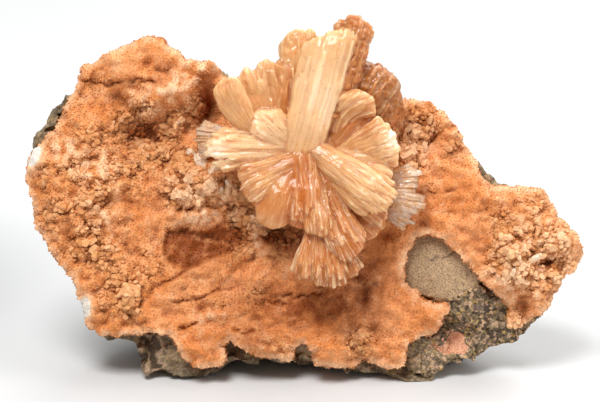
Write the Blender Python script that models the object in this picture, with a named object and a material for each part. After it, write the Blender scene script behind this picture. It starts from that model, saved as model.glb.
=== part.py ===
"""A stilbite spray on an orange druse that grew over a chunk of grey basalt.

Shapes are laid out in millimetres on the plate, the broad orange face of the specimen: u runs to the right,
v up the plate and w out of it, towards the viewer. The plate leans back, and the last step turns every solid
upright on the floor, at Z 0, and writes it in metres.
"""

import math
import random

import bmesh
import bpy
from mathutils import Matrix, Vector, noise

# Driving dimensions, in millimetres and degrees
LEAN = 18.0  # how far the plate leans back from upright
GAP = 0.3  # clearance between two pieces that grew against each other
CRUST_THICKNESS = 3.6  # the crust's even coat, before its lumps
CRUST_LEAST = 1.0  # its thickness at the bottom of a pit
EDGE_ROUND = 2.4  # how far in from its rim the crust starts to round over
ROCK_SLAB = 11.0  # depth of the rock's front slab, which has the outline's shape

# Mesh sizes
ROCK_VOXEL = 4.2
BED_CELL = 4.8
CRUST_CELL = 3.2
CELL_JITTER = 0.34  # how far a grid's points stray, over its cell
JITTER_SEED = 7  # without a seed the points would stray another way at each run

MM = 0.001
GOLDEN_ANGLE = math.radians(137.5)

# Outline of the rock's front slab
ROCK_OUTLINE = [
    (-55.0, 41.5), (-54.6, 44.5), (-52.3, 48.2), (-50.0, 49.6), (-49.6, 53.6), (-47.6, 54.4), (-46.2, 56.6),
    (-44.9, 56.7), (-43.9, 60.6), (-42.2, 62.2), (-37.4, 65.4), (-34.0, 66.4), (-30.7, 68.0), (-26.4, 67.6),
    (-25.8, 65.6), (-23.2, 64.6), (-22.8, 63.0), (-17.5, 62.8), (-15.4, 61.2), (-14.0, 59.0), (-6.0, 58.5),
    (4.0, 59.3), (14.0, 57.5), (19.5, 56.0), (25.0, 55.4), (28.9, 52.8), (31.0, 50.2), (33.2, 47.0),
    (35.4, 43.6), (36.2, 40.4), (37.2, 38.9), (42.5, 38.6), (46.5, 38.3), (48.6, 36.2), (50.4, 32.4),
    (53.4, 29.6), (55.3, 25.4), (54.6, 23.0), (52.1, 20.9), (51.3, 17.8), (49.3, 15.1), (48.2, 11.3),
    (45.4, 9.4), (41.3, 7.6), (35.2, 4.1), (32.3, 3.1), (28.2, 3.9), (26.2, 1.7), (24.6, -1.4),
    (20.0, -1.2), (15.2, 1.3), (6.0, 2.5), (-2.5, 3.5), (-7.7, 4.2), (-13.4, 3.9), (-15.0, 2.6),
    (-20.9, 0.8), (-30.1, 1.2), (-31.9, 6.4), (-32.8, 8.6), (-40.1, 8.3), (-42.8, 10.4), (-43.4, 14.7),
    (-45.4, 20.2), (-48.0, 22.4), (-50.3, 26.4), (-52.8, 30.2), (-53.6, 35.0),
]

# Outline of the crust. It runs round the bay at the lower right where the rock is bare
CRUST_OUTLINE = [
    (-54.0, 41.0), (-53.4, 43.6), (-51.2, 46.6), (-48.6, 48.8), (-46.8, 52.6), (-45.0, 55.8), (-43.2, 60.2),
    (-41.6, 61.8), (-37.0, 64.6), (-33.6, 65.8), (-30.6, 67.2), (-27.0, 66.8), (-26.2, 65.0), (-23.6, 64.0),
    (-22.9, 62.4), (-17.6, 62.2), (-15.8, 60.6), (-14.4, 58.4), (-6.0, 57.8), (4.0, 58.6), (14.0, 56.8),
    (19.4, 55.3), (24.6, 54.7), (27.8, 52.4), (29.8, 49.8), (31.6, 46.8), (33.6, 43.6), (34.6, 40.6),
    (36.4, 38.2), (42.2, 37.8), (46.2, 37.6), (48.0, 35.8), (49.8, 32.0), (52.8, 29.2), (54.6, 25.4),
    (54.0, 23.4), (50.6, 20.4), (49.2, 17.8), (47.8, 14.8), (44.8, 12.6), (41.5, 10.6), (39.9, 11.6),
    (40.5, 13.7), (39.1, 16.5), (35.6, 19.2), (32.8, 22.4), (29.1, 26.7), (27.5, 28.0), (24.8, 29.0),
    (22.1, 28.3), (20.3, 25.1), (19.5, 22.4), (19.9, 19.2), (21.9, 17.4), (23.6, 15.7), (26.2, 15.0),
    (28.3, 15.2), (28.7, 13.8), (27.0, 12.2), (26.2, 9.4), (23.4, 8.8), (21.0, 7.8), (20.1, 5.9),
    (19.6, 2.8), (15.6, 2.7), (11.9, 4.5), (9.4, 2.6), (6.0, 3.1), (2.5, 3.4), (2.1, 6.1),
    (0.1, 7.6), (-1.5, 6.5), (-2.1, 4.3), (-7.9, 4.9), (-9.9, 5.7), (-12.3, 6.7), (-14.0, 8.2),
    (-15.8, 7.1), (-14.8, 4.3), (-16.0, 3.2), (-20.1, 2.7), (-22.8, 4.1), (-24.4, 7.1), (-26.0, 9.2),
    (-29.9, 9.8), (-32.8, 9.4), (-40.0, 9.0), (-42.2, 10.9), (-42.8, 14.7), (-44.6, 20.2), (-47.0, 22.6),
    (-49.4, 26.6), (-51.8, 30.6), (-52.6, 35.2), (-54.0, 39.4),
]

# Corners of the broken block behind the slab: (u, v, w)
BACK_BLOCK = [
    (-46.0, 50.0, -7.0), (-44.0, 22.0, -7.0), (-27.0, 4.0, -7.0), (22.0, 2.0, -7.0), (43.0, 14.0, -7.0),
    (44.0, 32.0, -7.0), (24.0, 50.0, -7.0), (-26.0, 62.0, -7.0), (-40.0, 47.0, -18.0), (-36.0, 18.0, -21.0),
    (-25.0, 7.0, -30.0), (-28.0, 26.0, -33.0), (17.0, 8.5, -34.0), (30.0, 9.0, -24.0), (34.0, 25.0, -23.0),
    (12.0, 30.0, -36.0), (8.0, 47.0, -26.0), (-18.0, 53.0, -24.0), (-8.0, 10.0, -37.0),
]

# A small block of rock that shows beyond the crust at the upper left
LEFT_BLOCK = [
    (-51.6, 49.6, -1.0), (-51.4, 54.8, -1.2), (-47.4, 58.4, -1.4), (-41.0, 61.0, -3.0), (-38.0, 46.0, -1.0),
    (-46.0, 44.0, -1.0), (-49.6, 49.0, -11.0), (-48.6, 54.4, -11.0), (-43.0, 57.0, -12.0), (-38.0, 46.0, -14.0),
]

# Flat faces where the rock broke, each a point of the plane and its outward direction
FRACTURES = [
    ((0.0, 30.0, -31.0), (0.10, 0.12, -1.0)),  # back
    ((0.0, 53.0, -15.0), (0.05, 0.75, -0.66)),  # top of the back
    ((-44.0, 55.0, -11.0), (-0.50, 0.45, -0.74)),  # upper left
    ((-47.0, 32.0, -8.0), (-0.75, -0.10, -0.65)),  # left
    ((-37.0, 10.0, -10.0), (-0.60, -0.55, -0.58)),  # lower left
    ((46.0, 27.0, -8.0), (0.72, 0.15, -0.68)),  # right
    ((42.0, 11.0, -7.0), (0.62, -0.50, -0.60)),  # lower right
    ((31.0, 45.0, -8.0), (0.45, 0.60, -0.66)),  # upper right
    ((-6.0, 13.0, -33.0), (-0.15, -0.45, -0.88)),  # foot of the back
    ((20.0, 34.0, -27.0), (0.42, 0.30, -0.86)),  # right of the back
]

# Broad relief of the rock's face, each a smooth swell or hollow: (u, v, half-width, half-height, rise)
ROCK_RELIEF = [
    (27.0, 22.0, 8.0, 7.5, 2.4),  # the bare round patch
    (44.0, 27.0, 11.0, 9.0, 2.4),  # under the right lobe
    (33.0, 11.0, 5.0, 4.0, 0.9),  # the ridge below the bare patch
    (40.0, 6.5, 9.0, 3.0, -2.2),  # falls away to the lower right
    (21.0, 3.5, 3.2, 4.0, 1.6),  # the right foot
    (-29.5, 48.0, 8.0, 5.6, -4.6),  # the left hollow
    (-18.3, 53.5, 3.4, 5.0, -3.4),  # the cleft beside the spray
    (-19.5, 28.6, 9.0, 3.8, -2.2),  # the recessed terrace
    (-5.4, 30.0, 4.4, 3.0, -2.0),  # the pit beside the lower fan
    (24.5, 48.4, 6.2, 6.2, -3.4),  # the upper right hollow
    (8.0, 16.0, 12.0, 5.0, -1.4),  # the valley under the spray
]

# How much thicker or thinner the crust is than its even coat, in the same form
CRUST_RELIEF = [
    (-30.0, 64.0, 13.0, 5.0, 2.6),  # top ridge of the upper left lobe
    (-38.0, 57.0, 7.0, 5.0, -1.0),  # the smooth slope under it
    (-19.0, 60.5, 6.5, 3.6, 3.6),  # shelf above the dark cleft
    (-18.3, 53.5, 2.6, 4.2, -1.6),  # the cleft's bottom
    (-32.0, 48.8, 2.8, 2.2, -2.4),  # deepest hole of the left hollow
    (-45.0, 45.0, 8.0, 6.5, 1.8),  # rough lumps at the left
    (-19.0, 38.4, 8.0, 2.6, 2.4),  # pale ridge below the hollow
    (-36.0, 38.0, 6.0, 4.0, 1.2),  # smooth swell left of it
    (-23.0, 32.2, 6.0, 1.4, 1.8),  # lip over the terrace
    (-5.4, 30.0, 3.0, 2.2, -1.2),  # the pit's bottom
    (30.0, 37.0, 7.0, 4.0, 0.8),  # the plateau right of the spray
    (43.5, 27.5, 12.0, 10.0, 3.2),  # the right lobe
    (47.5, 23.3, 3.2, 1.8, -3.0),  # a small pocket in the lobe
    (42.0, 14.3, 2.4, 2.8, -3.0),  # the lobe's lower pocket
    (16.5, 15.0, 2.2, 6.0, 1.4),  # the rib right of the valley
    (-37.0, 18.0, 12.0, 9.0, 1.4),  # swell at the lower left
    (-6.0, 7.5, 24.0, 3.6, 1.2),  # the lip along the bottom
]

# Coarse crystals that stand out of the crust: (u, v, half-width, half-height, how many, their length)
DRUSE_PATCHES = [
    (44.0, 25.5, 8.8, 9.2, 19, 3.2),  # the right lobe
    (-29.5, 48.0, 8.6, 5.8, 16, 3.4),  # the left hollow
    (23.6, 47.6, 5.6, 5.4, 10, 3.0),  # the upper right hollow
    (-36.0, 20.0, 7.0, 7.0, 4, 2.6),  # the lower left swell
    (-6.0, 13.0, 18.0, 6.0, 5, 2.6),  # the bottom lip
]
DRUSE_SINK = 0.5  # how deep a crystal is rooted

# The sheaves of the spray, each fanned out of its root: root and tip as (u, v, w), width at the root and the
# tip, thickness at the root and the tip, blades, how far its end is domed, how far the end slopes, turn of
# the fan about its axis in degrees
SHEAVES = {
    "upright": ((2.0, 34.0, 11.0), (7.8, 70.2, 16.0), 9.6, 12.8, 9.0, 7.6, 7, 0.08, 0.02, 0),
    "lower_fan": ((2.0, 42.0, 12.0), (5.2, 19.8, 12.5), 8.0, 14.6, 7.0, 5.0, 7, 0.18, -0.08, 0),
    "right_low": ((0.5, 43.0, 12.0), (17.6, 35.0, 18.0), 6.0, 7.6, 7.0, 6.0, 5, 0.12, 0.00, 0),
    "right_high": ((4.0, 40.0, 9.0), (17.6, 48.2, 14.0), 4.0, 10.0, 5.0, 4.6, 4, 0.14, 0.00, 0),
    "back_right": ((2.0, 42.0, 5.0), (15.4, 60.2, 8.0), 7.0, 13.0, 7.0, 9.5, 5, 0.14, 0.00, 0),
    "curl_right": ((4.0, 46.0, 10.0), (13.0, 55.0, 15.0), 3.0, 7.0, 4.0, 4.0, 3, 0.20, 0.00, 10),
    "back_top": ((0.0, 44.0, 6.0), (-0.9, 68.4, 9.5), 4.0, 7.0, 5.0, 5.6, 3, 0.12, 0.04, 0),
    "upper_left": ((0.0, 42.0, 7.0), (-8.4, 62.6, 10.0), 5.0, 9.0, 6.0, 6.4, 5, 0.12, 0.03, 0),
    "middle_left": ((1.0, 40.0, 9.0), (-4.4, 57.6, 13.0), 6.0, 8.0, 6.0, 5.0, 3, 0.14, 0.00, 0),
    "petal_left": ((-3.0, 43.0, 9.0), (-15.0, 58.6, 13.5), 3.0, 6.2, 5.0, 3.8, 3, 0.18, 0.00, -8),
    "left_bright": ((2.0, 40.6, 11.0), (-18.6, 44.6, 16.0), 6.0, 7.4, 6.0, 5.6, 5, 0.18, 0.00, 0),
    "left_low": ((2.0, 40.0, 11.0), (-11.4, 35.8, 14.0), 5.0, 9.6, 6.0, 5.4, 5, 0.16, 0.00, 0),
    "belly_left": ((2.0, 41.0, 11.0), (-5.0, 32.6, 13.0), 7.0, 9.4, 7.0, 6.6, 4, 0.22, 0.00, 0),
    "petal_right": ((4.0, 41.4, 10.0), (15.6, 39.8, 14.6), 3.0, 5.4, 4.0, 3.6, 3, 0.24, 0.00, 12),
}
HUB = ((1.5, 40.0, 7.0), (9.5, 8.0, 7.5))  # the spray's solid heart: its middle and its half-sizes

# Two glassy sheaves that grew beside the spray, given in the same way
CLEAR_RIGHT = ((12.5, 37.4, 5.0), (23.0, 35.6, 9.5), 5.0, 12.6, 3.6, 4.2, 6, 0.24, 0.00, 6)
CLEAR_LEFT = ((-12.4, 47.4, 6.0), (-21.2, 47.2, 9.0), 3.0, 7.4, 3.4, 3.6, 4, 0.24, 0.00, -6)

BLADE_OVERLAP = 1.3  # each blade's width over the distance to the next
BLADE_JITTER = 0.035  # how unevenly the blades end, over the sheaf's length
BLADE_POINT = 0.09  # length of a blade's pointed end, over the sheaf's length


def clear_scene():
    for obj in list(bpy.data.objects):
        bpy.data.objects.remove(obj)


def new_object(name, bm):
    mesh = bpy.data.meshes.new(name)
    bmesh.ops.recalc_face_normals(bm, faces=bm.faces)
    bm.to_mesh(mesh)
    bm.free()
    obj = bpy.data.objects.new(name, mesh)
    bpy.context.scene.collection.objects.link(obj)
    return obj


def apply_modifiers(obj):
    bpy.context.view_layer.update()
    graph = bpy.context.evaluated_depsgraph_get()
    obj.data = bpy.data.meshes.new_from_object(obj.evaluated_get(graph))
    obj.modifiers.clear()


def combine(obj, other, operation, overlaps_itself=False):
    """Joins, cuts or crops obj by the other solid, which is then removed, and leaves flat triangles only."""
    modifier = obj.modifiers.new(operation.title(), "BOOLEAN")
    modifier.operation = operation
    modifier.object = other
    modifier.solver = "EXACT"
    modifier.use_self = overlaps_itself
    apply_modifiers(obj)
    bpy.data.objects.remove(other)
    bm = bmesh.new()
    bm.from_mesh(obj.data)
    bmesh.ops.triangulate(bm, faces=bm.faces)
    bmesh.ops.recalc_face_normals(bm, faces=bm.faces)
    bm.to_mesh(obj.data)
    bm.free()


def raised(obj, distance):
    """A copy of a solid moved straight out of the plate, to cut what grew on top of it."""
    bm = bmesh.new()
    bm.from_mesh(obj.data)
    bmesh.ops.translate(bm, vec=(0.0, 0.0, distance), verts=bm.verts)
    return new_object(obj.name + "_raised", bm)


def keep_largest_body(obj):
    """Drops the crumbs that a cut can leave beside the main body."""
    bm = bmesh.new()
    bm.from_mesh(obj.data)
    unseen = set(bm.verts)
    bodies = []
    while unseen:
        body = set()
        edge_of_search = [unseen.pop()]
        while edge_of_search:
            vert = edge_of_search.pop()
            body.add(vert)
            near = {edge.other_vert(vert) for edge in vert.link_edges} & unseen
            unseen -= near
            edge_of_search.extend(near)
        bodies.append(body)
    bodies.sort(key=len)
    crumbs = [vert for body in bodies[:-1] for vert in body]
    bmesh.ops.delete(bm, geom=crumbs, context="VERTS")
    bm.to_mesh(obj.data)
    bm.free()


def extruded_outline(name, outline, w_front, w_back):
    """A closed prism: the outline at w_front, extruded to w_back."""
    bm = bmesh.new()
    ring = [bm.verts.new((u, v, w_front)) for u, v in outline]
    face = bm.faces.new(ring)
    back = bmesh.ops.extrude_face_region(bm, geom=[face])["geom"]
    moved = [part for part in back if isinstance(part, bmesh.types.BMVert)]
    bmesh.ops.translate(bm, vec=(0, 0, w_back - w_front), verts=moved)
    return new_object(name, bm)


def swells(relief, u, v):
    """Height of a list of smooth swells and hollows at a point of the plate."""
    return sum(
        rise * math.exp(-(((u - cu) / ru) ** 2) - ((v - cv) / rv) ** 2)
        for cu, cv, ru, rv, rise in relief
    )


def rim_distance(outline, u, v):
    """Distance from a point of the plate to the outline."""
    nearest = 1e9
    for (au, av), (bu, bv) in zip(outline, outline[1:] + outline[:1]):
        du, dv = bu - au, bv - av
        along = ((u - au) * du + (v - av) * dv) / (du * du + dv * dv)
        along = max(0.0, min(1.0, along))
        nearest = min(nearest, math.hypot(u - au - along * du, v - av - along * dv))
    return nearest


def rock_height(u, v):
    """Height of the rock's face over the plate, which is rough where the crust doesn't cover it."""
    ripples = 0.5 * noise.fractal(Vector((u, v, 4.0)) / 9.0, 1.0, 2.0, 3)
    bare = math.exp(-(((u - 36.0) / 13.0) ** 2) - ((v - 11.0) / 9.0) ** 2)
    roughness = 1.6 * bare * noise.fractal(Vector((u, v, 9.0)) / 5.0, 0.9, 2.2, 2)
    return swells(ROCK_RELIEF, u, v) + ripples + roughness


def crust_height(u, v):
    """Height of the crust's face over the plate."""
    lumps = 2.2 * noise.fractal(Vector((u, v, 0.0)) / 13.0, 0.9, 2.1, 4)
    grain = 1.3 * noise.fractal(Vector((u, v * 1.5, 7.0)) / 5.2, 0.8, 2.1, 2)
    thickness = CRUST_THICKNESS + swells(CRUST_RELIEF, u, v) + lumps + grain
    thickness -= rounded_off(rim_distance(CRUST_OUTLINE, u, v))
    return rock_height(u, v) + max(CRUST_LEAST, thickness)


def rounded_off(distance):
    """How far the crust's face drops this near its rim."""
    inside = min(1.0, distance / EDGE_ROUND)
    return 1.9 * (1.0 - math.sqrt(1.0 - (1.0 - inside) ** 2))


def beyond(point, normal):
    """A block that fills the space beyond a plane, to break a piece off flat."""
    bm = bmesh.new()
    bmesh.ops.create_cube(bm, size=200.0)
    bmesh.ops.translate(bm, vec=(0.0, 0.0, 100.0), verts=bm.verts)
    outward = Vector(normal).to_track_quat("Z", "Y").to_matrix()
    bmesh.ops.rotate(bm, matrix=outward, verts=bm.verts)
    bmesh.ops.translate(bm, vec=point, verts=bm.verts)
    return new_object("beyond", bm)


def relief_slab(name, outline, cell, height, back):
    """A block under a gridded relief, big enough for the outline. Its flat underside is at w = back."""
    us, vs = zip(*outline)
    width, length = max(us) - min(us) + 4, max(vs) - min(vs) + 4
    middle = ((min(us) + max(us)) / 2, (min(vs) + max(vs)) / 2, back)
    bm = bmesh.new()
    columns, rows = round(width / cell), round(length / cell)
    bmesh.ops.create_grid(bm, x_segments=columns, y_segments=rows, size=0.5)
    bmesh.ops.scale(bm, vec=(width, length, 1.0), verts=bm.verts)
    bmesh.ops.translate(bm, vec=middle, verts=bm.verts)
    for vert in bm.verts:
        if not vert.is_boundary:
            stray = noise.noise_vector(vert.co / cell * 3.7) * cell * CELL_JITTER * 2
            vert.co += Vector((stray.x, stray.y, 0.0))
    top = bmesh.ops.extrude_face_region(bm, geom=bm.faces[:])["geom"]
    for vert in top:
        if isinstance(vert, bmesh.types.BMVert):
            vert.co.z = height(vert.co.x, vert.co.y)
    bmesh.ops.triangulate(bm, faces=bm.faces)
    return new_object(name, bm)


def rock_bed(lift):
    """All that lies under the rock's face, lifted off it by some distance."""
    bed = relief_slab("rock_bed", ROCK_OUTLINE, BED_CELL, rock_height, -60.0)
    bed.data.transform(Matrix.Translation((0.0, 0.0, lift)))
    return bed


def basalt_matrix():
    """The slab and the broken block behind it, fused, roughened and cut off flat where it stands."""
    rock = extruded_outline("basalt_matrix", ROCK_OUTLINE, 5.0, -ROCK_SLAB)
    bm = bmesh.new()
    bm.from_mesh(rock.data)
    back = [vert for vert in bm.verts if vert.co.z < 0.0]
    bmesh.ops.scale(bm, vec=(0.93, 0.92, 1.0), verts=back)
    for block in (BACK_BLOCK, LEFT_BLOCK):
        corners = [bm.verts.new(corner) for corner in block]
        hull = bmesh.ops.convex_hull(bm, input=corners)
        bmesh.ops.delete(bm, geom=hull["geom_interior"], context="VERTS")
    bmesh.ops.recalc_face_normals(bm, faces=bm.faces)
    bm.to_mesh(rock.data)
    bm.free()

    remesh = rock.modifiers.new("Remesh", "REMESH")
    remesh.mode = "VOXEL"
    remesh.voxel_size = ROCK_VOXEL
    apply_modifiers(rock)
    keep_largest_body(rock)

    bm = bmesh.new()
    bm.from_mesh(rock.data)
    bm.normal_update()
    for vert in bm.verts:
        broken = 1.3 * noise.fractal(vert.co / 11.0, 0.9, 2.2, 3) + 1.6 * abs(noise.noise(vert.co / 17.0))
        vert.co += vert.normal * (broken - 0.6)
    bm.to_mesh(rock.data)
    bm.free()
    combine(rock, rock_bed(0.0), "INTERSECT")
    for point, normal in FRACTURES:
        combine(rock, beyond(point, normal), "DIFFERENCE")
    down = (0.0, -math.cos(math.radians(LEAN)), -math.sin(math.radians(LEAN)))
    combine(rock, beyond((0.0, 0.0, 0.0), down), "DIFFERENCE")
    keep_largest_body(rock)
    return rock


def druse_crystal(bm, foot, upward, size, turn):
    """A small coffin-shaped crystal: a flat blade with a chisel point."""
    wide = upward.orthogonal().normalized()
    wide.rotate(Matrix.Rotation(turn, 3, upward))
    thick = upward.cross(wide)
    half = (wide * size * 0.3, thick * size * 0.16)
    stations = [(foot, *half), (foot + upward * size * 0.75, *half)]
    stations.append((foot + upward * size, half[0] * 0.45, half[1] * 0.3))
    blade(bm, stations)


def coarse_druse():
    """Crystals strewn over ovals of the crust in a sunflower pattern, each leaning its own way."""
    rng = random.Random(3)
    bm = bmesh.new()
    for cu, cv, ru, rv, count, length in DRUSE_PATCHES:
        for index in range(count):
            reach = math.sqrt((index + 0.5) / count)
            u = cu + ru * reach * math.cos(index * GOLDEN_ANGLE)
            v = cv + rv * reach * math.sin(index * GOLDEN_ANGLE)
            size = length * rng.uniform(0.75, 1.2)
            upward = Vector((rng.uniform(-0.8, 0.8), rng.uniform(-0.8, 0.8), 1.0)).normalized()
            foot = Vector((u, v, crust_height(u, v))) - upward * DRUSE_SINK * 2
            druse_crystal(bm, foot, upward, size + DRUSE_SINK * 2, rng.uniform(0.0, math.pi))
    return new_object("coarse_druse", bm)


def druse_crust():
    """The orange crust, a slab with the druse's relief, cropped to its outline and set on the rock."""
    crust = relief_slab("druse_crust", CRUST_OUTLINE, CRUST_CELL, crust_height, -12.0)
    combine(crust, extruded_outline("crust_prism", CRUST_OUTLINE, 30.0, -20.0), "INTERSECT")
    combine(crust, coarse_druse(), "UNION", overlaps_itself=True)
    combine(crust, rock_bed(GAP), "DIFFERENCE")
    keep_largest_body(crust)
    return crust


def blade(bm, stations):
    """One flat crystal, lofted through stations from its root to its tip: (centre, half width, half thickness)."""
    corners = [(-1, -1), (1, -1), (1, 1), (-1, 1)]
    rings = [
        [bm.verts.new(centre + wide * a + thick * b) for a, b in corners]
        for centre, wide, thick in stations
    ]
    bm.faces.new(rings[0])
    bm.faces.new(rings[-1])
    for lower, upper in zip(rings, rings[1:]):
        for i in range(4):
            j = (i + 1) % 4
            bm.faces.new((lower[i], lower[j], upper[j], upper[i]))


def sheaf(bm, shape, rng):
    """Blades side by side like a fanned deck of cards, with a domed and uneven end."""
    root, tip, root_width, tip_width, root_thick, tip_thick, count, dome, slope, turn = shape
    root, tip = Vector(root), Vector(tip)
    axis = tip - root
    length = axis.length
    axis.normalize()
    wide = axis.cross(Vector((0.0, 0.0, 1.0))).normalized()
    wide.rotate(Matrix.Rotation(math.radians(turn), 3, axis))
    thick = wide.cross(axis)
    for index in range(count):
        across = (index + 0.5) / count * 2 - 1
        bulge = math.sqrt(1.0 - (0.75 * across) ** 2)
        shortfall = dome * across**2 - slope * across + BLADE_JITTER * rng.uniform(-1, 1)
        start = root + wide * across * root_width / 2 + thick * rng.uniform(-0.2, 0.2)
        end = tip + wide * across * tip_width / 2 + thick * rng.uniform(-0.3, 0.3)
        end -= axis * length * shortfall
        steepness = length * (slope - 2 * dome * across) / (tip_width / 2)
        share = BLADE_OVERLAP / (2 * count)
        point = axis * length * BLADE_POINT * rng.uniform(0.8, 1.4)
        root_half = (wide * root_width * share, thick * root_thick / 2 * bulge)
        tip_half = ((wide + axis * steepness) * tip_width * share, thick * tip_thick / 2 * bulge)
        pointed_half = (tip_half[0] * 0.6, tip_half[1] * 0.3)
        blade(bm, [(start, *root_half), (end - point, *tip_half), (end, *pointed_half)])


def sheaves(name, shapes, seed):
    rng = random.Random(seed)
    bm = bmesh.new()
    for shape in shapes:
        sheaf(bm, shape, rng)
    return new_object(name, bm)


def stilbite_spray(crust, rock):
    """All the sheaves, joined where they cross at the heart, and cut to sit on the crust."""
    bm = bmesh.new()
    middle, half = HUB
    bmesh.ops.create_icosphere(bm, subdivisions=2, radius=1.0)
    bmesh.ops.scale(bm, vec=half, verts=bm.verts)
    bmesh.ops.translate(bm, vec=middle, verts=bm.verts)
    spray = new_object("stilbite_spray", bm)
    combine(spray, sheaves("spray_blades", SHEAVES.values(), 11), "UNION", overlaps_itself=True)
    combine(spray, raised(crust, GAP), "DIFFERENCE")
    combine(spray, raised(rock, GAP), "DIFFERENCE")
    keep_largest_body(spray)
    return spray


def clear_sheaf(name, shape, seed, neighbours):
    """A glassy sheaf of its own, cut to sit on what it grew against. Its blades meet in a small core."""
    root, tip = Vector(shape[0]), Vector(shape[1])
    bm = bmesh.new()
    bmesh.ops.create_cube(bm, size=1.0)
    bmesh.ops.translate(bm, vec=root.lerp(tip, 0.25), verts=bm.verts)
    glassy = new_object(name, bm)
    combine(glassy, sheaves(name + "_blades", [shape], seed), "UNION", overlaps_itself=True)
    for neighbour in neighbours:
        combine(glassy, raised(neighbour, GAP), "DIFFERENCE")
    keep_largest_body(glassy)
    return glassy


def material(name, colour, roughness):
    made = bpy.data.materials.new(name)
    made.use_nodes = True
    shader = made.node_tree.nodes["Principled BSDF"]
    shader.inputs["Base Color"].default_value = (*colour, 1.0)
    shader.inputs["Roughness"].default_value = roughness
    shader.inputs["Metallic"].default_value = 0.0
    return made


def centre_on_origin(plate, pieces):
    """Moves the plate along the floor until the middle of the specimen's box is over the origin."""
    bpy.context.view_layer.update()
    points = [piece.matrix_world @ vert.co for piece in pieces for vert in piece.data.vertices]
    xs = [point.x for point in points]
    ys = [point.y for point in points]
    plate.location.x -= (min(xs) + max(xs)) / 2
    plate.location.y -= (min(ys) + max(ys)) / 2


def main():
    clear_scene()
    noise.seed_set(JITTER_SEED)
    plate = bpy.data.objects.new("plate", None)
    plate.rotation_euler.x = math.radians(90.0 - LEAN)
    bpy.context.scene.collection.objects.link(plate)

    rock = basalt_matrix()
    crust = druse_crust()
    spray = stilbite_spray(crust, rock)
    right = clear_sheaf("clear_sheaf_right", CLEAR_RIGHT, 21, [crust, rock, spray])
    left = clear_sheaf("clear_sheaf_left", CLEAR_LEFT, 22, [crust, rock, spray])

    glassy = material("glassy_stilbite", (0.80, 0.68, 0.56), 0.15)
    finishes = {
        rock: material("basalt", (0.16, 0.15, 0.11), 0.9),
        crust: material("orange_druse", (0.62, 0.24, 0.09), 0.6),
        spray: material("stilbite", (0.85, 0.53, 0.29), 0.35),
        right: glassy,
        left: glassy,
    }
    for piece, finish in finishes.items():
        piece.data.materials.clear()
        piece.data.materials.append(finish)
        piece.data.transform(Matrix.Scale(MM, 4))
        piece.parent = plate
    centre_on_origin(plate, list(finishes))


if __name__ == "__main__":
    main()
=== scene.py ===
import math
import random
from collections import namedtuple

import bmesh
import bpy
import numpy as np
from bpy.props import FloatProperty, FloatVectorProperty, IntProperty, PointerProperty
from mathutils import Matrix, Vector, noise
from mathutils.bvhtree import BVHTree
from mathutils.interpolate import poly_3d_calc


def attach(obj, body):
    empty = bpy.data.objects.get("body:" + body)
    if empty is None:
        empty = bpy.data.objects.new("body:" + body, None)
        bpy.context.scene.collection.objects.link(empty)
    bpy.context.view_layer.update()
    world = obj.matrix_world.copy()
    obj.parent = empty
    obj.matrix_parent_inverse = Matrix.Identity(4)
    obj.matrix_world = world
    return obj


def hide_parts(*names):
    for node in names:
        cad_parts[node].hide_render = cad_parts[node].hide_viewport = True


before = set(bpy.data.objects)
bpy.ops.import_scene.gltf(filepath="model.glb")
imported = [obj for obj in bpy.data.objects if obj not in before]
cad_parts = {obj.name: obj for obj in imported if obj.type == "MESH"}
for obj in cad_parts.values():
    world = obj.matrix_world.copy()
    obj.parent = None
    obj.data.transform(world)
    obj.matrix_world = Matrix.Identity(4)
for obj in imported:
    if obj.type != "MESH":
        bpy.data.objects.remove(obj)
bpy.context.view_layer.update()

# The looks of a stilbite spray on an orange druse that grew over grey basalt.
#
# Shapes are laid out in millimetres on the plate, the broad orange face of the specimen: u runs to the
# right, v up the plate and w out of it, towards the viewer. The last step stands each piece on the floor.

bl_info = {
    "name": "Stilbite Cluster",
    "version": (1, 0, 0),
    "blender": (4, 5, 0),
    "location": "View3D > Sidebar > Stilbite",
    "description": "Dresses a stilbite spray on orange druse and basalt",
    "category": "Add Mesh",
}

# Where the plate stands, as in the solids
LEAN = 18.0  # degrees back from upright
PLATE_X, PLATE_Y = -0.0003, -0.01624144  # metres
MM = 0.001
PLATE_TURN = Matrix.Rotation(math.radians(90.0 - LEAN), 4, "X")
PLATE = Matrix.Translation((PLATE_X, PLATE_Y, 0.0)) @ PLATE_TURN @ Matrix.Scale(MM, 4)

NOISE_SEED = 7  # without a seed the noise vectors would differ at each run
SORT_ALONG = Vector((1.0, 0.618, 0.1414))  # along no edge of a grid

CRUST_THICKNESS = 3.6
CRUST_LEAST = 1.0
EDGE_ROUND = 2.4  # width of the crust's rounded rim

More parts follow.
